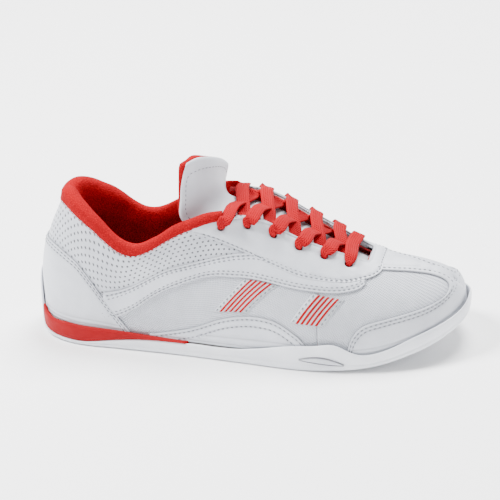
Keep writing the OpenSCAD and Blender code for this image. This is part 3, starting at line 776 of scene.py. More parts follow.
STIFFENER = knit("stiffener_felt", (0.6, 0.6, 0.6), (0.42, 0.42, 0.43), 1500, 0.0002)
THREAD = thread("grey_thread", (0.2, 0.21, 0.24), (0.1, 0.11, 0.13))
RED_THREAD = thread("red_thread", (0.6, 0.03, 0.04), (0.35, 0.015, 0.02))
AGLET = rubber("clear_aglet", (0.7, 0.7, 0.72), (0.6, 0.6, 0.63), 0.2, 0.2)


# ----------------------------------------------------------------------------- upper panels
OVER_LOW = GAP
OVER_HIGH = GAP + OVERLAY_T
STITCH_UP = OVER_HIGH - 0.1
FEATHER = 0.996
FEATHER_OVER = 0.994
GUARD_EDGE = [
    (0.67, -0.99), (0.672, -0.93), (0.682, -0.83), (0.702, -0.745), (0.74, -0.7), (0.8, -0.665),
    (0.848, -0.62), (0.882, -0.555), (0.9, -0.46), (0.909, -0.36), (0.905, -0.26), (0.888, -0.19),
    (0.862, -0.155), (0.835, -0.14), (0.78, -0.14), (0.716, -0.14),
]


def mirrored(path):
    return [(u, -w) for u, w in path][::-1]


def line(u0, w0, u1, w1, n=30):
    return [(lerp(u0, u1, i / n), lerp(w0, w1, i / n)) for i in range(n + 1)]


VAMP_FOOT = 0.622
VAMP_TOP = 0.6
VAMP_GAP = 0.0008


def vamp_seam(shift):
    """The joint of the side mesh and the vamp, which runs under the front patch and the band."""
    return [(VAMP_FOOT + shift, FEATHER), (VAMP_FOOT + shift, 0.5), (VAMP_TOP + shift, 0.44),
            (VAMP_TOP + shift, edge_w(VAMP_TOP))]


def eyelet_holes(sides, eyelets=EYELETS):
    return [circle_hole((u, s * w), EYELET_D / 2) for u, w in eyelets for s in sides]


stitches = {"lateral": [], "medial": [], "toe": []}

MESH_REAR = 0.16
MESH_SPLIT = 0.56
COLLAR_SPLIT = 0.556
for label, side in SIDES:
    holes = eyelet_holes([side])
    # Mesh side panel, from the heel foxing to the vamp.
    loop = joined_loop(
        level(side * FEATHER, MESH_REAR, VAMP_FOOT),
        even([(u, side * w) for u, w in vamp_seam(0.0)]),
        level(lambda u: side * edge_w(u), VAMP_TOP, MESH_SPLIT, 12),
        even(edge_curve(QUARTER_SEAM, side, MESH_SPLIT, MESH_REAR)),
    )
    panel(f"{label}_side_mesh", loop, -PANEL_T, 0, MESH, [f"{label}_side_panel"],
          rim=0.12, holes=holes)
    # Perforated collar panel above the quarter seam.
    loop = joined_loop(
        level(lambda u: side * (1 - max(through(QUARTER_SEAM, u), 0.02) - 0.006), 0.003, COLLAR_SPLIT, 66),
        even([(COLLAR_SPLIT, side * w) for w in (0.42, 0.3, edge_w(COLLAR_SPLIT))]),
        level(lambda u: side * max(edge_w(u) - 0.004, 0.004), COLLAR_SPLIT, 0.003, 76),
    )
    panel(f"{label}_collar_leather", loop, -PANEL_T, 0.12, PERFORATED,
          [f"{label}_collar_panel"], rim=0.25, holes=holes[:3], crease=0.1)
    # Arch band, under the eyestay at its front end.
    low = even(edge_curve(BAND_LOW, side, 0.27, 0.7))
    high = even(edge_curve(BAND_TOP, side, 0.7, 0.27))
    panel(f"{label}_arch_band_leather", joined_loop(low, high), OVER_LOW * 0.5, OVER_HIGH - 0.15, WHITE,
          [f"{label}_arch_band"], grooves=(1.7,), crease=0.12)
    left = 1 if side < 0 else -1
    for edge in (low, high):
        stitches[label] += seam(edge, (1.7 * left, 3.6 * left), STITCH_UP - 0.15)
    # Arch panel that stands on the sole.
    low = level(side * FEATHER_OVER, 0.355, 0.612)
    high = even(edge_curve(ARCH_TOP, side, 0.612, 0.355))
    panel(f"{label}_arch_leather", joined_loop(low, high), OVER_LOW, OVER_HIGH, WHITE,
          [f"{label}_arch_panel"], grooves=(1.6, 5.2), crease=0.12)
    stitches[label] += seam(high[3:-3], (1.6 * left, 5.2 * left), STITCH_UP)
    # Eyelet backer inside the eyestay.
    loop = joined_loop(
        level(side * 0.26, 0.45, 0.69, 20),
        level(lambda u: side * (edge_w(u) + 0.01), 0.69, 0.45, 20),
    )
    depth = PANEL_T + GAP
    panel(f"{label}_eyestay_stay", loop, -depth - STIFFENER_T, -depth, STIFFENER,
          [f"{label}_eyestay_backer"], rim=0.1, holes=holes, pitch=4)

# Eyestay: one piece round the front of the throat.
outer = [(u, -(1 - through(EYESTAY_LOW, u))) for u in np.linspace(0.413, 0.7, 40).tolist()]
outer += spline([
    (0.7, -0.28), (0.714, -0.235), (0.7255, -0.18), (0.731, -0.12), (0.7325, -0.06), (0.7325, -0.001),
])
outer = even(outer)
inner = level(lambda u: -edge_w(u), 0.7, 0.413)
THROAT_END = 0.7012
throat_front = line(THROAT_END, 0.04, THROAT_END, -0.04, 8)
loop = joined_loop(outer, mirrored(outer), mirrored(inner), throat_front, inner)
panel("eyestay_leather", loop, OVER_LOW, OVER_HIGH, WHITE, ["eyestay"], rim=0.4,
      grooves=(1.7,), holes=eyelet_holes([-1, 1]), crease=0.1)
stitches["lateral"] += seam(outer[4:], (1.7,), STITCH_UP)
stitches["medial"] += seam(mirrored(outer)[:-4], (1.7,), STITCH_UP)

# Vamp: the mesh over the toes, notched by the throat.
feather_front = level(-FEATHER, VAMP_FOOT + VAMP_GAP, 1, 60)
rear = even([(u, -w) for u, w in vamp_seam(VAMP_GAP)[::-1]])
throat = level(-edge_w(THROAT_U), THROAT_END, VAMP_TOP + VAMP_GAP, 20)
loop = joined_loop(feather_front, mirrored(feather_front), mirrored(rear), mirrored(throat),
                   throat_front, throat, rear)
panel("vamp_mesh", loop, -PANEL_T, 0, MESH, ["vamp"], rim=0.12,
      holes=eyelet_holes([-1, 1], EYELETS[4:]))

# Toe guard with its middle strip.
guard = spline(GUARD_EDGE)
feather_toe = level(-FEATHER_OVER, 0.67, 1, 60)
across = line(0.716, 0.13, 0.716, -0.13, 12)
loop = joined_loop(feather_toe, mirrored(feather_toe), mirrored(guard[::-1]), across, guard[::-1])
panel("toe_guard_leather", loop, OVER_LOW, OVER_HIGH, WHITE, ["toe_guard"], rim=0.4,
      grooves=(1.6, 3.6), crease=0.15)
strip_start = next(i for i, p in enumerate(guard) if p[1] > -0.34)
for edge, offsets in (
    (guard[:strip_start], (-1.6, -3.6)), (guard[strip_start:], (-1.6,)),
    (mirrored(guard[strip_start:]), (-1.6,)), (mirrored(guard[:strip_start]), (-1.6, -3.6)),
):
    stitches["toe"] += seam(edge, offsets, STITCH_UP)

# Heel foxing round the heel, in two runs that meet at the back.
for label, side in SIDES:
    low = level(side * FEATHER_OVER, 0.0005, 0.32, 50)
    high = even(edge_curve(FOXING_EDGE, side, 0.32, 0.0005, 60))
    left = 1 if side < 0 else -1
    replaced = ["heel_foxing"] if side < 0 else []
    panel(f"{label}_heel_foxing_leather", joined_loop(low, high), OVER_LOW, OVER_HIGH, WHITE,
          replaced, rim=0.4, grooves=(1.6, 3.6), crease=0.12)
    stitches[label] += seam(high, (1.6 * left, 3.6 * left), STITCH_UP)

# Striped patches.
STRIPE_PATCHES = [(0.488, 0.534, 0.235, 0.465), (0.606, 0.64, 0.215, 0.465)]
STRIPE_W = 0.03
STRIPE_COUNT = 5
STRIPE_TOP, STRIPE_FOOT = 0.0016, 0.0022
PATCH_MARGIN = 0.011
PATCH_SEAM = 0.0075


def patch_grid(side, spec, low, high, height, n=14):
    u0, u1, v0, v1 = spec
    return [[
        skin(lerp(u0, u1, j / n) + lerp(low, high, i / 4), side * (1 - lerp(v0, v1, j / n)), height)
        for j in range(n + 1)] for i in range(5)]


PATCH_UVS = [[(i * 3.0, j * 2.0) for j in range(15)] for i in range(5)]


for label, side in SIDES:
    for k, spec in enumerate(STRIPE_PATCHES):
        half = STRIPE_W / 2
        reach = half + PATCH_MARGIN
        slab(f"{label}_stripe_patch_{k + 1}", patch_grid(side, spec, -reach, reach, 0.35),
             patch_grid(side, spec, -reach, reach, -0.1), STRIPE_BASE, "shoe", uvs=PATCH_UVS)
        for s in range(STRIPE_COUNT):
            mid = lerp(-half, half, s / (STRIPE_COUNT - 1))
            replaced = [f"{label}_stripes"] if k == s == 0 else []
            slab(f"{label}_stripe_{k + 1}_{s + 1}",
                 patch_grid(side, spec, mid - STRIPE_TOP, mid + STRIPE_TOP, 0.6),
                 patch_grid(side, spec, mid - STRIPE_FOOT, mid + STRIPE_FOOT, 0.25),
                 STRIPE, "shoe", replaced)
        for edge in (-half - PATCH_SEAM, half + PATCH_SEAM):
            path = [(lerp(spec[0], spec[1], t) + edge, side * (1 - lerp(spec[2], spec[3], t)))
                    for t in np.linspace(0, 1, 16).tolist()]
            stitches[label] += seam(path, (0.0,), 0.38)

for label, rows in stitches.items():
    verts, faces = stitch_mesh(rows)
    make_object(f"{label}_stitching", verts, faces, THREAD, "shoe")


# -------------------------------------------------------------------------- padded collar
COLLAR_END = 0.462
COLLAR_RAISE = 1.004
LIP_SECTION = [(2.6, 0.1), (0.3, 0.7)]
PAD_SECTION = [(-0.5, 4), (3.5, 5.6), (7.5, 4), (9.5, -1), (9.5, -9), (7.5, -18)]
WALL_DEPTH = -PANEL_T - 2 * GAP - STIFFENER_T - LINING_T


def padding(u):
    return lerp(1, 0.42, ease((abs(u) - 0.1) / 0.3)) * lerp(1, 0.3, ease((abs(u) - 0.41) / 0.06))


def inner_wall(u, v, d):
    return skin(u, -max(1 - v * (COLLAR_RAISE - edge_w(abs(u))), 0.002), d)


def collar_point(u, inward, up, shrink):
    side = 1 if u < 0 else -1
    a, n, k = side_point(abs(u), side, COLLAR_RAISE - edge_w(abs(u))), normal_at(u, -0.02), padding(u)
    flat = Vector((n.x, n.y, 0)).normalized()
    depth = inward + shrink if inward < 0 else lerp(1, inward, k) - (shrink if inward > 5 else 0)
    rise = up * lerp(k, 1, 0.5) - (shrink if up > 3 else 0) if up > 0 else up * lerp(k, 1, 0.3)
    return a - depth * flat + Vector((0, 0, rise))


def wall_height(u):
    return smooth(TOP_Z, abs(u)) - smooth(BED_Z, abs(u))


def lining_row(u, shrink):
    row = [inner_wall(u, 1 - down / wall_height(u), GAP + LINING_T + out - shrink)
           for down, out in LIP_SECTION]
    row += [collar_point(u, a, b, shrink) for a, b in PAD_SECTION]
    # The lining narrows away to nothing at the front ends of the collar.
    end = ease((abs(u) - 0.36) / 0.1)
    row += [inner_wall(u, lerp(v, 0.97 - 0.06 * k, end), WALL_DEPTH + shrink + d)
            for k, (v, d) in enumerate(((0.5, -1.5), (0.3, 0), (0.05, 0)))]
    return row


def collar_grid(shrink, columns=150, around=44):
    rows = []
    for i in range(columns + 1):
        u = lerp(-COLLAR_END, COLLAR_END, i / columns)
        row = lining_row(u, shrink)
        rows.append([smooth(row, j / around) for j in range(around + 1)])
    return rows


def soft_wave(rows, height, scale):
    """The rows with small soft unevenness, as padding has between its seams."""
    ni, nj = len(rows), len(rows[0])
    made = []
    for i, row in enumerate(rows):
        new = []
        for j, p in enumerate(row):
            a = row[min(j + 1, nj - 1)] - row[max(j - 1, 0)]
            b = rows[min(i + 1, ni - 1)][j] - rows[max(i - 1, 0)][j]
            normal = b.cross(a).normalized()
            fade = min(j, nj - 1 - j, i, ni - 1 - i) / 3
            new.append(p + normal * height * min(fade, 1) * noise.noise(p * scale))
        made.append(new)
    return made


collar = slab("collar_padding", soft_wave(collar_grid(0), 0.5, 0.09), collar_grid(LINING_T), COLLAR, "shoe",
              ["collar_lining", "collar_foam"])
LIP_STITCH_DOWN = 3.6
lip = [(u, -LIP_STITCH_DOWN / wall_height(u)) for u in np.linspace(-0.4, 0.4, 160).tolist()]
for label, keep in (("lateral", lambda u: u >= 0), ("medial", lambda u: u < 0)):
    path = [p for p in lip if keep(p[0])]
    rows = [([skin(u, w, 0.35) for u, w in path], [normal_at(u, w) for u, w in path])]
    verts, faces = stitch_mesh(rows, radius=0.26)
    make_object(f"{label}_collar_stitching", verts, faces, RED_THREAD, "shoe")

# Lining over the toes.
lining_high = -PANEL_T - STIFFENER_T - 3 * GAP
LINING_REAR = 0.45
front_edge = level(-0.95, LINING_REAR, 1, 60)
rear = even(line(LINING_REAR, -0.03, LINING_REAR, -0.95))
throat = level(lambda u: -edge_w(u), THROAT_END, LINING_REAR, 30)
loop = joined_loop(front_edge, mirrored(front_edge), mirrored(rear), mirrored(throat),
                   throat_front, throat, rear)
panel("vamp_lining_cloth", loop, lining_high - LINING_T, lining_high, RED_LINING,
      ["vamp_lining"], rim=0.1, pitch=4)

# ---------------------------------------------------------------------------------- tongue
TONGUE_DEPTH = -6.4


def tongue_row(u, drop):
    middle = (skin(u, -RIDGE_W, 0) + skin(u, RIDGE_W, 0)) / 2 - Vector((0, 0, drop))
    return [skin(u, -0.26, TONGUE_DEPTH - 0.6), skin(u, -0.13, TONGUE_DEPTH), middle,
            skin(u, 0.13, TONGUE_DEPTH), skin(u, 0.26, TONGUE_DEPTH - 0.6)]


def free_row(points):
    return [Vector((x - SHOE_L / 2, y - MID_Y, z)) for x, y, z in points]


TONGUE_ROWS = [tongue_row(u, d) for u, d in
               ((0.74, 5.6), (0.7, 5.5), (0.65, 5.3), (0.6, 5.3), (0.55, 5.0), (0.505, 4.8))] + [
    free_row([(99.5, -18.5, 79.5), (112, -12, 86), (121.5, 1, 89), (120, 12.5, 86.5), (114, 18, 81.5)]),
    free_row([(97, -18.5, 97.5), (106.5, -12, 101.5), (115, 0, 101), (117.5, 11.5, 97), (115.5, 19, 90.5)]),
    free_row([(101, -18, 119), (107, -11, 120.5), (113, 0, 117), (117, 11, 111), (119, 20, 103.5)]),
]
SHELL_T = 1.1


def tongue_at(s, c):
    return smooth([smooth(row, c) for row in TONGUE_ROWS], s)


def tongue_skin(s, c, d):
    du = tongue_at(min(s + 0.01, 1), c) - tongue_at(max(s - 0.01, 0), c)
    dw = tongue_at(s, min(c + 0.01, 1)) - tongue_at(s, max(c - 0.01, 0))
    return tongue_at(s, c) + d * dw.cross(du).normalized()


def pad_t(s, c):
    return lerp(1, 5, ease((s - 0.5) / 0.4)) * (0.25 + 0.75 * math.sin(math.pi * min(max(c, 0.04), 0.96)))


def corner(s, c, round_from=0.965):
    """Narrows the tongue towards its rounded top corners."""
    t = max((s - round_from) / (1 - round_from), 0)
    share = 1 - 0.07 * (1 - math.sqrt(max(1 - t * t, 0)))
    return 0.5 + (c - 0.5) * share


def tongue_grid(depth, s0=0.0, ni=70, nj=34):
    rows = []
    for i in range(ni + 1):
        s = lerp(s0, 1, i / ni)
        rows.append([tongue_skin(s, corner(s, j / nj), depth(s, j / nj)) for j in range(nj + 1)])
    return rows


def rounded(s, c):
    """A depth that falls away towards the edges of the tongue."""
    near = min(c, 1 - c, (1 - s) * 1.5) / 0.02
    return -0.45 * (1 - math.sqrt(max(1 - (1 - min(near, 1)) ** 2, 0)))


slab("tongue_leather", soft_wave(tongue_grid(rounded), -0.35, 0.06), tongue_grid(lambda s, c: -SHELL_T),
     WHITE, "tongue", ["tongue_shell"])
PAD_START = 0.1
pad_front = tongue_grid(lambda s, c: -SHELL_T - 0.1, PAD_START)
pad_back = tongue_grid(lambda s, c: -SHELL_T - 2 * GAP - pad_t(s, c) - LINING_T, PAD_START)
pad = slab("tongue_padding", pad_front, soft_wave(pad_back, 0.5, 0.08), TONGUE_RED, "tongue",
           ["tongue_foam", "tongue_lining"])


def ring_quads(rings, size):
    """The faces between closed rings of vertices that follow one another."""
    return [(k * size + j, k * size + (j + 1) % size, (k + 1) * size + (j + 1) % size, (k + 1) * size + j)
            for k in range(rings - 1) for j in range(size)]


def tube(name, points, radii, material, body, sides=12):
    """A closed tube along points, with a radius at each."""
    verts = []
    wide = Vector((0.3, 1, 0.2))
    for i, p in enumerate(points):
        along = (points[min(i + 1, len(points) - 1)] - points[max(i - 1, 0)]).normalized()
        wide = (wide - wide.dot(along) * along).normalized()
        up = wide.cross(along)
        for k in range(sides):
            turn = 2 * math.pi * k / sides
            verts.append(p + radii[i] * (wide * math.cos(turn) + up * math.sin(turn)))
    faces = ring_quads(len(points), sides)
    faces.append(tuple(range(sides))[::-1])
    faces.append(tuple(range((len(points) - 1) * sides, len(points) * sides)))
    return make_object(name, verts, faces, material, body)


# The padding rolls out over the top edge of the tongue and a little way down its sides.
route = [(s, 0.012) for s in np.linspace(0.86, 0.985, 14).tolist()]
route += [(0.985, c) for c in np.linspace(0.04, 0.96, 30).tolist()]
route += [(s, 0.988) for s in np.linspace(0.985, 0.86, 14).tolist()]
points = [tongue_skin(s, corner(s, c), -SHELL_T - 2.0) for s, c in route]
swell = [0.6 + 1.1 * ease(min(i, len(points) - 1 - i) / 12) + 0.9 * math.exp(-((i - 14) / 4) ** 2)
         for i in range(len(points))]
roll = tube("tongue_edge_roll", points, swell, TONGUE_RED, "tongue")

# A row of stitches inside the edge of the tongue.
border = [(s, 0.07) for s in np.linspace(0.5, 0.93, 40).tolist()]
border += [(0.95, c) for c in np.linspace(0.1, 0.9, 30).tolist()]
border += [(s, 0.93) for s in np.linspace(0.93, 0.5, 40).tolist()]
rows = [([tongue_skin(s, c, -0.05) for s, c in border],
         [tongue_skin(s, c, 1) - tongue_skin(s, c, 0) for s, c in border])]
verts, faces = stitch_mesh(rows, radius=0.26)
make_object("tongue_stitching", verts, faces, THREAD, "tongue")

# ------------------------------------------------------------------------------------ lace
LACE_W = 8.3
LACE_T = 1.5
UNDER_D = -4.6
OVER_D = 2.35
HOLE_SHARE = 0.42
CROSS_UP = (1.6, -0.2)


def by_skin(u, w, d, share=1.0):
    return (skin(u, w, d), share, u)


def over_throat(u, s, t, up):
    e = edge_w(u)
    return lerp(skin(u, s * e, 0), skin(u, -s * e, 0), t) + Vector((0, 0, up))


def by_throat(u, s, t, up):
    return (over_throat(u, s, t, up), 1.0, u)


def hole_stops(e, s):
    return [by_skin(e[0], s * (e[1] - 0.036), OVER_D, 0.82), by_skin(e[0], s * e[1], 1.3, HOLE_SHARE),
            by_skin(e[0], s * e[1], -1.6, HOLE_SHARE), by_skin(e[0], s * (e[1] - 0.008), UNDER_D, 0.6)]


def strand(i, s):
    a, b = EYELETS[i + 1][0], EYELETS[i][0]

    def u(t):
        return lerp(a, b, t)

    return [
        by_skin(u(0.08), s * 0.085, UNDER_D, 0.85),
        by_skin(u(0.16), s * edge_w(u(0.16)), UNDER_D - 0.3, 0.9),
        by_throat(u(0.3), s, 0.22, -2),
        by_throat(u(0.5), s, 0.5, CROSS_UP[0] if s < 0 else CROSS_UP[1]),
        by_throat(u(0.7), s, 0.8, 2.8),
        by_skin(u(0.84), -s * edge_w(u(0.84)), OVER_D + 0.4),
        *hole_stops(EYELETS[i], -s),
    ]


def half_lace(s):
    stops = []
    for k in range(5):
        stops += strand(4 - k, s if k % 2 == 0 else -s)
    return stops + [by_skin(0.475 + 0.005 * k, -s * (0.17 + 0.07 * k), UNDER_D + 0.1, 0.6) for k in range(3)]


last_row = EYELETS[5]
lace_stops = half_lace(-1)[::-1] + hole_stops(last_row, -1)[::-1] + [
    by_skin(last_row[0], -RIDGE_W, OVER_D + 0.3), by_throat(last_row[0], -1, 0.5, 2.6),
    by_skin(last_row[0], RIDGE_W, OVER_D + 0.3),
] + hole_stops(last_row, 1) + half_lace(1)
lace_points = [p[0] for p in lace_stops]
lace_shares = [p[1] for p in lace_stops]
lace_us = [p[2] for p in lace_stops]
RINGS_PER_STOP = 7
LACE_SECTION = [(-1, 0), (-0.93, 0.75), (-0.6, 1), (-0.2, 0.93), (0.2, 0.93), (0.6, 1), (0.93, 0.75)]
LACE_SECTION += [(-a, -b) for a, b in LACE_SECTION]

lace_verts, lace_uvs, run, before = [], [], 0.0, None
lace_rings = RINGS_PER_STOP * len(lace_stops)
for k in range(lace_rings + 1):
    t, e = k / lace_rings, 0.2 / len(lace_stops)
    here = smooth(lace_points, t)
    along = (smooth(lace_points, min(t + e, 1)) - smooth(lace_points, max(t - e, 0))).normalized()
    u = smooth(lace_us, t)
    wide = (over_throat(u - 0.02, 1, 0.5, 0) - over_throat(u + 0.02, 1, 0.5, 0)).normalized()
    wide = (wide - wide.dot(along) * along).normalized()
    up = along.cross(wide)
    run += (here - before).length if before is not None else 0.0
    before = here
    share = smooth(lace_shares, t)
    half, thick = share * LACE_W / 2, LACE_T / 2 * (1 + 0.9 * (1 - share))
    for a, b in LACE_SECTION:
        lace_verts.append(here + wide * (a * half) + up * (b * thick))
        lace_uvs.append((run, a * half))
m = len(LACE_SECTION)
lace_faces = [tuple(range(m)), tuple(range(lace_rings * m, (lace_rings + 1) * m))[::-1]]
lace_faces += ring_quads(lace_rings + 1, m)
make_object("lace_ribbon", lace_verts, lace_faces, LACE, "shoe", ["lace"], lace_uvs)

# ------------------------------------------------------------------------------------ sole
SOLE_N = 96
WEDGE_N = 44
WEDGE_END = 0.425
_outlines = {}


def v_at(u, side, z):
    lo, hi = 0.0, 0.7
    for _ in range(10):
        mid = (lo + hi) / 2
        if side_point(u, side, mid).z < z:
            lo = mid
        else:
            hi = mid
    return (lo + hi) / 2


def outline_at(u, side, z, grow):
    key = (round(u, 5), side)
    if key not in _outlines:
        t = last_at(u + STEP, side) - last_at(u - STEP, side)
        _outlines[key] = Vector((-side * t.y, side * t.x)).normalized()
    n = _outlines[key]
    p = side_point(u, side, v_at(u, side, z))
    return Vector((p.x + grow * n.x, p.y + grow * n.y, z))


def sole_ring(grow, z, n=SOLE_N, end_u=1.0):
    stations = [(end_u * i / n, -1) for i in range(n + 1)]
    stations += [(end_u * i / n, 1) for i in range(n - 1 if end_u == 1 else n, 0, -1)]
    return [outline_at(u, side, z(u), grow(u)) for u, side in stations]


def block_mesh(rings, n):
    size = len(rings[0])
    faces = ring_quads(len(rings), size)

    def mate(i):
        return (size - i) % size

    for base, turn in ((0, -1), ((len(rings) - 1) * size, 1)):
        for i in range(n):
            quad = []
            for k in (i, i + 1, mate(i + 1), mate(i)):
                if base + k not in quad:
                    quad.append(base + k)
            if len(quad) > 2:
                faces.append(tuple(quad[::turn]))
    return [p for ring in rings for p in ring], faces


def ground(u):
    return max(smooth(GROUND_Z, u), 0)


def floor_z(u):
    return ground(u) + OUTSOLE_T


def wedge_bottom(u):
    rise = max(smooth(WALL_Z, u) - floor_z(u) - 1.2, 0)
    return floor_z(u) + 0.4 + 4 * ease((0.08 - u) / 0.06) + rise * ease((u - 0.2) / 0.225)


def wedge_floor(u):
    return lerp(BED_Z[0] - 3.5, wedge_bottom(u) + 0.3, u / WEDGE_END)


def wedge_open(u):
    return ease((u - 0.045) / 0.02) * ease((0.435 - u) / 0.02)


def wedge_wide(u):
    return ease((u - 0.06) / 0.015)


def rim_z(u):
    at_heel = float(np.interp(u, [0, 0.02, 0.09, 1], [38, 36, 17, 1]))
    crest = 4.5 * math.exp(-((u - 0.65) / 0.026) ** 2)
    return lerp(at_heel, smooth(WALL_Z, u) + crest, ease((u - 0.05) / 0.05))


def outsole_rim(u):
    return lerp(rim_z(u), wedge_bottom(u) + 0.2, wedge_open(u))


def lean(u):
    return 1.1 * ease((u - 0.8) / 0.15)


def wall(share, out):
    """A ring of the outsole wall, at a share of its height."""
    return sole_ring(lambda u: out + lean(u) * share, lambda u: lerp(floor_z(u), outsole_rim(u), share))


rings = [
    sole_ring(lambda u: WALL_IN - 4 - 5 * ease((u - 0.7) / 0.3), lambda u: ground(u) + 0.25),
    sole_ring(lambda u: WALL_IN - 1.2 - 5 * ease((u - 0.7) / 0.3), lambda u: ground(u)),
    sole_ring(lambda u: WALL_OUT - 0.9, lambda u: ground(u) + 0.35),
    sole_ring(lambda u: WALL_OUT - 0.1, lambda u: lerp(ground(u), min(floor_z(u), outsole_rim(u)), 0.7)),
    wall(0.12, WALL_OUT), wall(0.2, WALL_OUT - 0.55), wall(0.28, WALL_OUT),
    wall(0.6, WALL_OUT), wall(0.86, WALL_OUT - 0.05), wall(0.97, WALL_OUT - 0.45), wall(1.0, WALL_OUT - 1.0),
    wall(0.97, WALL_IN + 0.15), wall(0.5, WALL_IN),
    sole_ring(lambda u: WALL_IN, floor_z),
    sole_ring(lambda u: WALL_IN - 3, lambda u: floor_z(u) - 0.02),
]
verts, faces = block_mesh(rings, SOLE_N)
make_object("outsole_rubber", verts, faces, OUTSOLE, "shoe", ["outsole"], subdivide=1)


def wedge_grow(u, out):
    return lerp(WALL_IN - 2 * GAP, out, wedge_wide(u))


def wedge_rim(u):
    return lerp(wedge_floor(u), smooth(WALL_Z, u), wedge_wide(u) * 0.97) + 0.5


def wedge_ring(out, share):
    return sole_ring(lambda u: wedge_grow(u, out), lambda u: lerp(wedge_bottom(u), wedge_rim(u), share),
                     WEDGE_N, WEDGE_END)


rings = [
    wedge_ring(WALL_OUT - 1.6, 0.0), wedge_ring(WALL_OUT - 0.5, 0.03), wedge_ring(WALL_OUT + 0.1, 0.2),
    wedge_ring(WALL_OUT + 0.3, 0.6), wedge_ring(WALL_OUT + 0.1, 0.92), wedge_ring(WALL_OUT - 0.5, 1.0),
    sole_ring(lambda u: WALL_IN - 2.2 * GAP, lambda u: wedge_rim(u) + 0.05, WEDGE_N, WEDGE_END),
    sole_ring(lambda u: WALL_IN - 1, wedge_floor, WEDGE_N, WEDGE_END),
]
verts, faces = block_mesh(rings, WEDGE_N)
make_object("heel_wedge_foam", verts, faces, WEDGE, "shoe", ["heel_wedge"], subdivide=1)

# Almond windows in the side walls, each with a raised rim.
WINDOW_ENDS = (0.594, 0.664)


def window_share(u):
    return (u - WINDOW_ENDS[0]) / (WINDOW_ENDS[1] - WINDOW_ENDS[0])


def window_rise(u, size):
    return size * math.sin(math.pi * min(max(window_share(u), 0.02), 0.98)) ** 0.8


def window_middle(u):
    return lerp(8.2, 5.6, window_share(u)) + 1.2 * math.sin(math.pi * window_share(u))


for label, side in SIDES:
    faces_out = []
    for grow in (WALL_OUT + 0.35, WALL_OUT - 0.6):
        grid = []
        for i in range(25):
            u = lerp(*WINDOW_ENDS, i / 24)
            rise = window_rise(u, 1.8)
            grid.append([outline_at(u, side, window_middle(u) + rise * lerp(-1, 1, j / 6),
                                    grow + 0.25 * (1 - abs(j / 3 - 1) ** 2)) for j in range(7)])
        faces_out.append(grid)
    replaced = ["sole_windows"] if side < 0 else []
    slab(f"{label}_sole_window", faces_out[0], faces_out[1], WINDOW, "shoe", replaced)
    ring = [outline_at(u, side, window_middle(u) + s * window_rise(u, 2.1), WALL_OUT + 0.2)
            for s, ends in ((1, WINDOW_ENDS), (-1, WINDOW_ENDS[::-1]))
            for u in np.linspace(*ends, 24).tolist()]
    tube(f"{label}_window_rim", ring, [0.4] * len(ring), WINDOW_RIM, "shoe", sides=8)

# Sockliner: cloth-topped foam with a heel cup.
SOCK_GROW = -6.6


def heel_cup(u):
    return 4 * ease((0.3 - u) / 0.25)


def bed(u):
    return smooth(BED_Z, u)


rings = [
    sole_ring(lambda u: SOCK_GROW - 1, lambda u: bed(u) + 0.3),
    sole_ring(lambda u: SOCK_GROW, lambda u: bed(u) + 0.8),
    sole_ring(lambda u: SOCK_GROW, lambda u: bed(u) + (SOCKLINER_T + heel_cup(u)) * 0.85),
    sole_ring(lambda u: SOCK_GROW - 0.6, lambda u: bed(u) + SOCKLINER_T + heel_cup(u)),
    sole_ring(lambda u: SOCK_GROW - 1.8, lambda u: bed(u) + SOCKLINER_T + heel_cup(u) * 0.85),
    sole_ring(lambda u: SOCK_GROW - 5, lambda u: bed(u) + SOCKLINER_T + heel_cup(u) * 0.15),
    sole_ring(lambda u: SOCK_GROW - 9, lambda u: bed(u) + SOCKLINER_T - 0.2),
]
verts, faces = block_mesh(rings, SOLE_N)
insole = make_object("sockliner_foam", verts, faces, INSOLE, "insert", ["sockliner"])

# CAD nodes whose shape is right keep it, with better materials.
for node, material in (
    ("midsole", MIDSOLE), ("strobel_board", BOARD), ("heel_counter", STIFFENER), ("toe_puff", STIFFENER),
    ("lace_aglets", AGLET),
):
    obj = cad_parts[node]
    for slot in obj.material_slots:
        slot.material = material

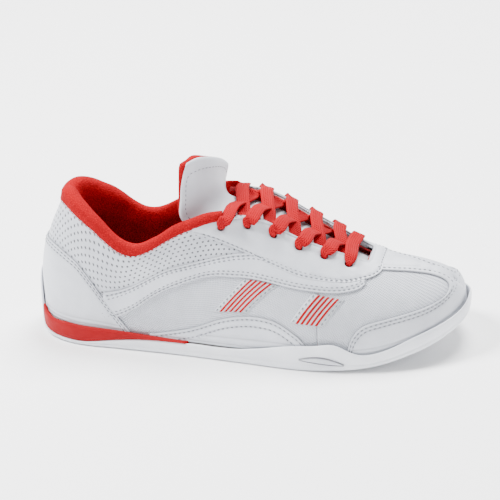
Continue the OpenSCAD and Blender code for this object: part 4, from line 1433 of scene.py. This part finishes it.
# ---------------------------------------------------------------------- studio and camera
STUDIO_FLOOR = Nodes("studio_floor")
STUDIO_FLOOR.finish(
    STUDIO_FLOOR.mix(STUDIO_FLOOR.noise(3), (0.96, 0.96, 0.965), (0.95, 0.95, 0.955)), 0.7,
    STUDIO_FLOOR.bump(STUDIO_FLOOR.noise(300), 0.0001, 0.1))
floor_mesh = bpy.data.meshes.new("floor")
floor_mesh.from_pydata([(-6, -6, 0), (6, -6, 0), (6, 6, 0), (-6, 6, 0)], [], [(0, 1, 2, 3)])
floor_mesh.materials.append(STUDIO_FLOOR.material)
floor = bpy.data.objects.new("floor", floor_mesh)
bpy.context.scene.collection.objects.link(floor)
floor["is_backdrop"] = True

CAMERA_AZ, CAMERA_EL, CAMERA_ROLL = 13, 26, -2.5
FRAME_WIDTH = 0.305
LENS = 180
low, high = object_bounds()
target = (low + high) / 2 + Vector((0, 0, -0.004))
az, el = math.radians(CAMERA_AZ), math.radians(CAMERA_EL)
back = Vector((math.sin(az) * math.cos(el), -math.cos(az) * math.cos(el), math.sin(el)))
camera_data = bpy.data.cameras.new("camera")
camera_data.lens = LENS
camera = bpy.data.objects.new("camera", camera_data)
bpy.context.scene.collection.objects.link(camera)
camera.location = target + back * (FRAME_WIDTH * LENS / camera_data.sensor_width)
camera.rotation_mode = "QUATERNION"
aim = (-back).to_track_quat("-Z", "Y")
camera.rotation_quaternion = aim @ Quaternion((0, 0, 1), math.radians(CAMERA_ROLL))
bpy.context.scene.camera = camera


def area_light(name, place, size, power):
    data = bpy.data.lights.new(name, "AREA")
    data.shape, data.size, data.energy = "DISK", size, power
    light = bpy.data.objects.new(name, data)
    light.location = place
    light.rotation_mode = "QUATERNION"
    light.rotation_quaternion = (target - Vector(place)).to_track_quat("-Z", "Y")
    bpy.context.scene.collection.objects.link(light)


area_light("key", (-0.9, -0.2, 1.3), 0.5, 62)
area_light("fill", (0.9, -0.8, 0.6), 1.1, 4)
area_light("top", (0.25, 0.6, 1.5), 0.8, 62)
area_light("back", (-0.3, 1.2, 0.7), 1.0, 6)

world = bpy.data.worlds.new("studio")
world.use_nodes = True
sky = world.node_tree.nodes["Background"].inputs
sky["Color"].default_value = (1, 1, 1, 1)
sky["Strength"].default_value = 0.75
bpy.context.scene.world = world
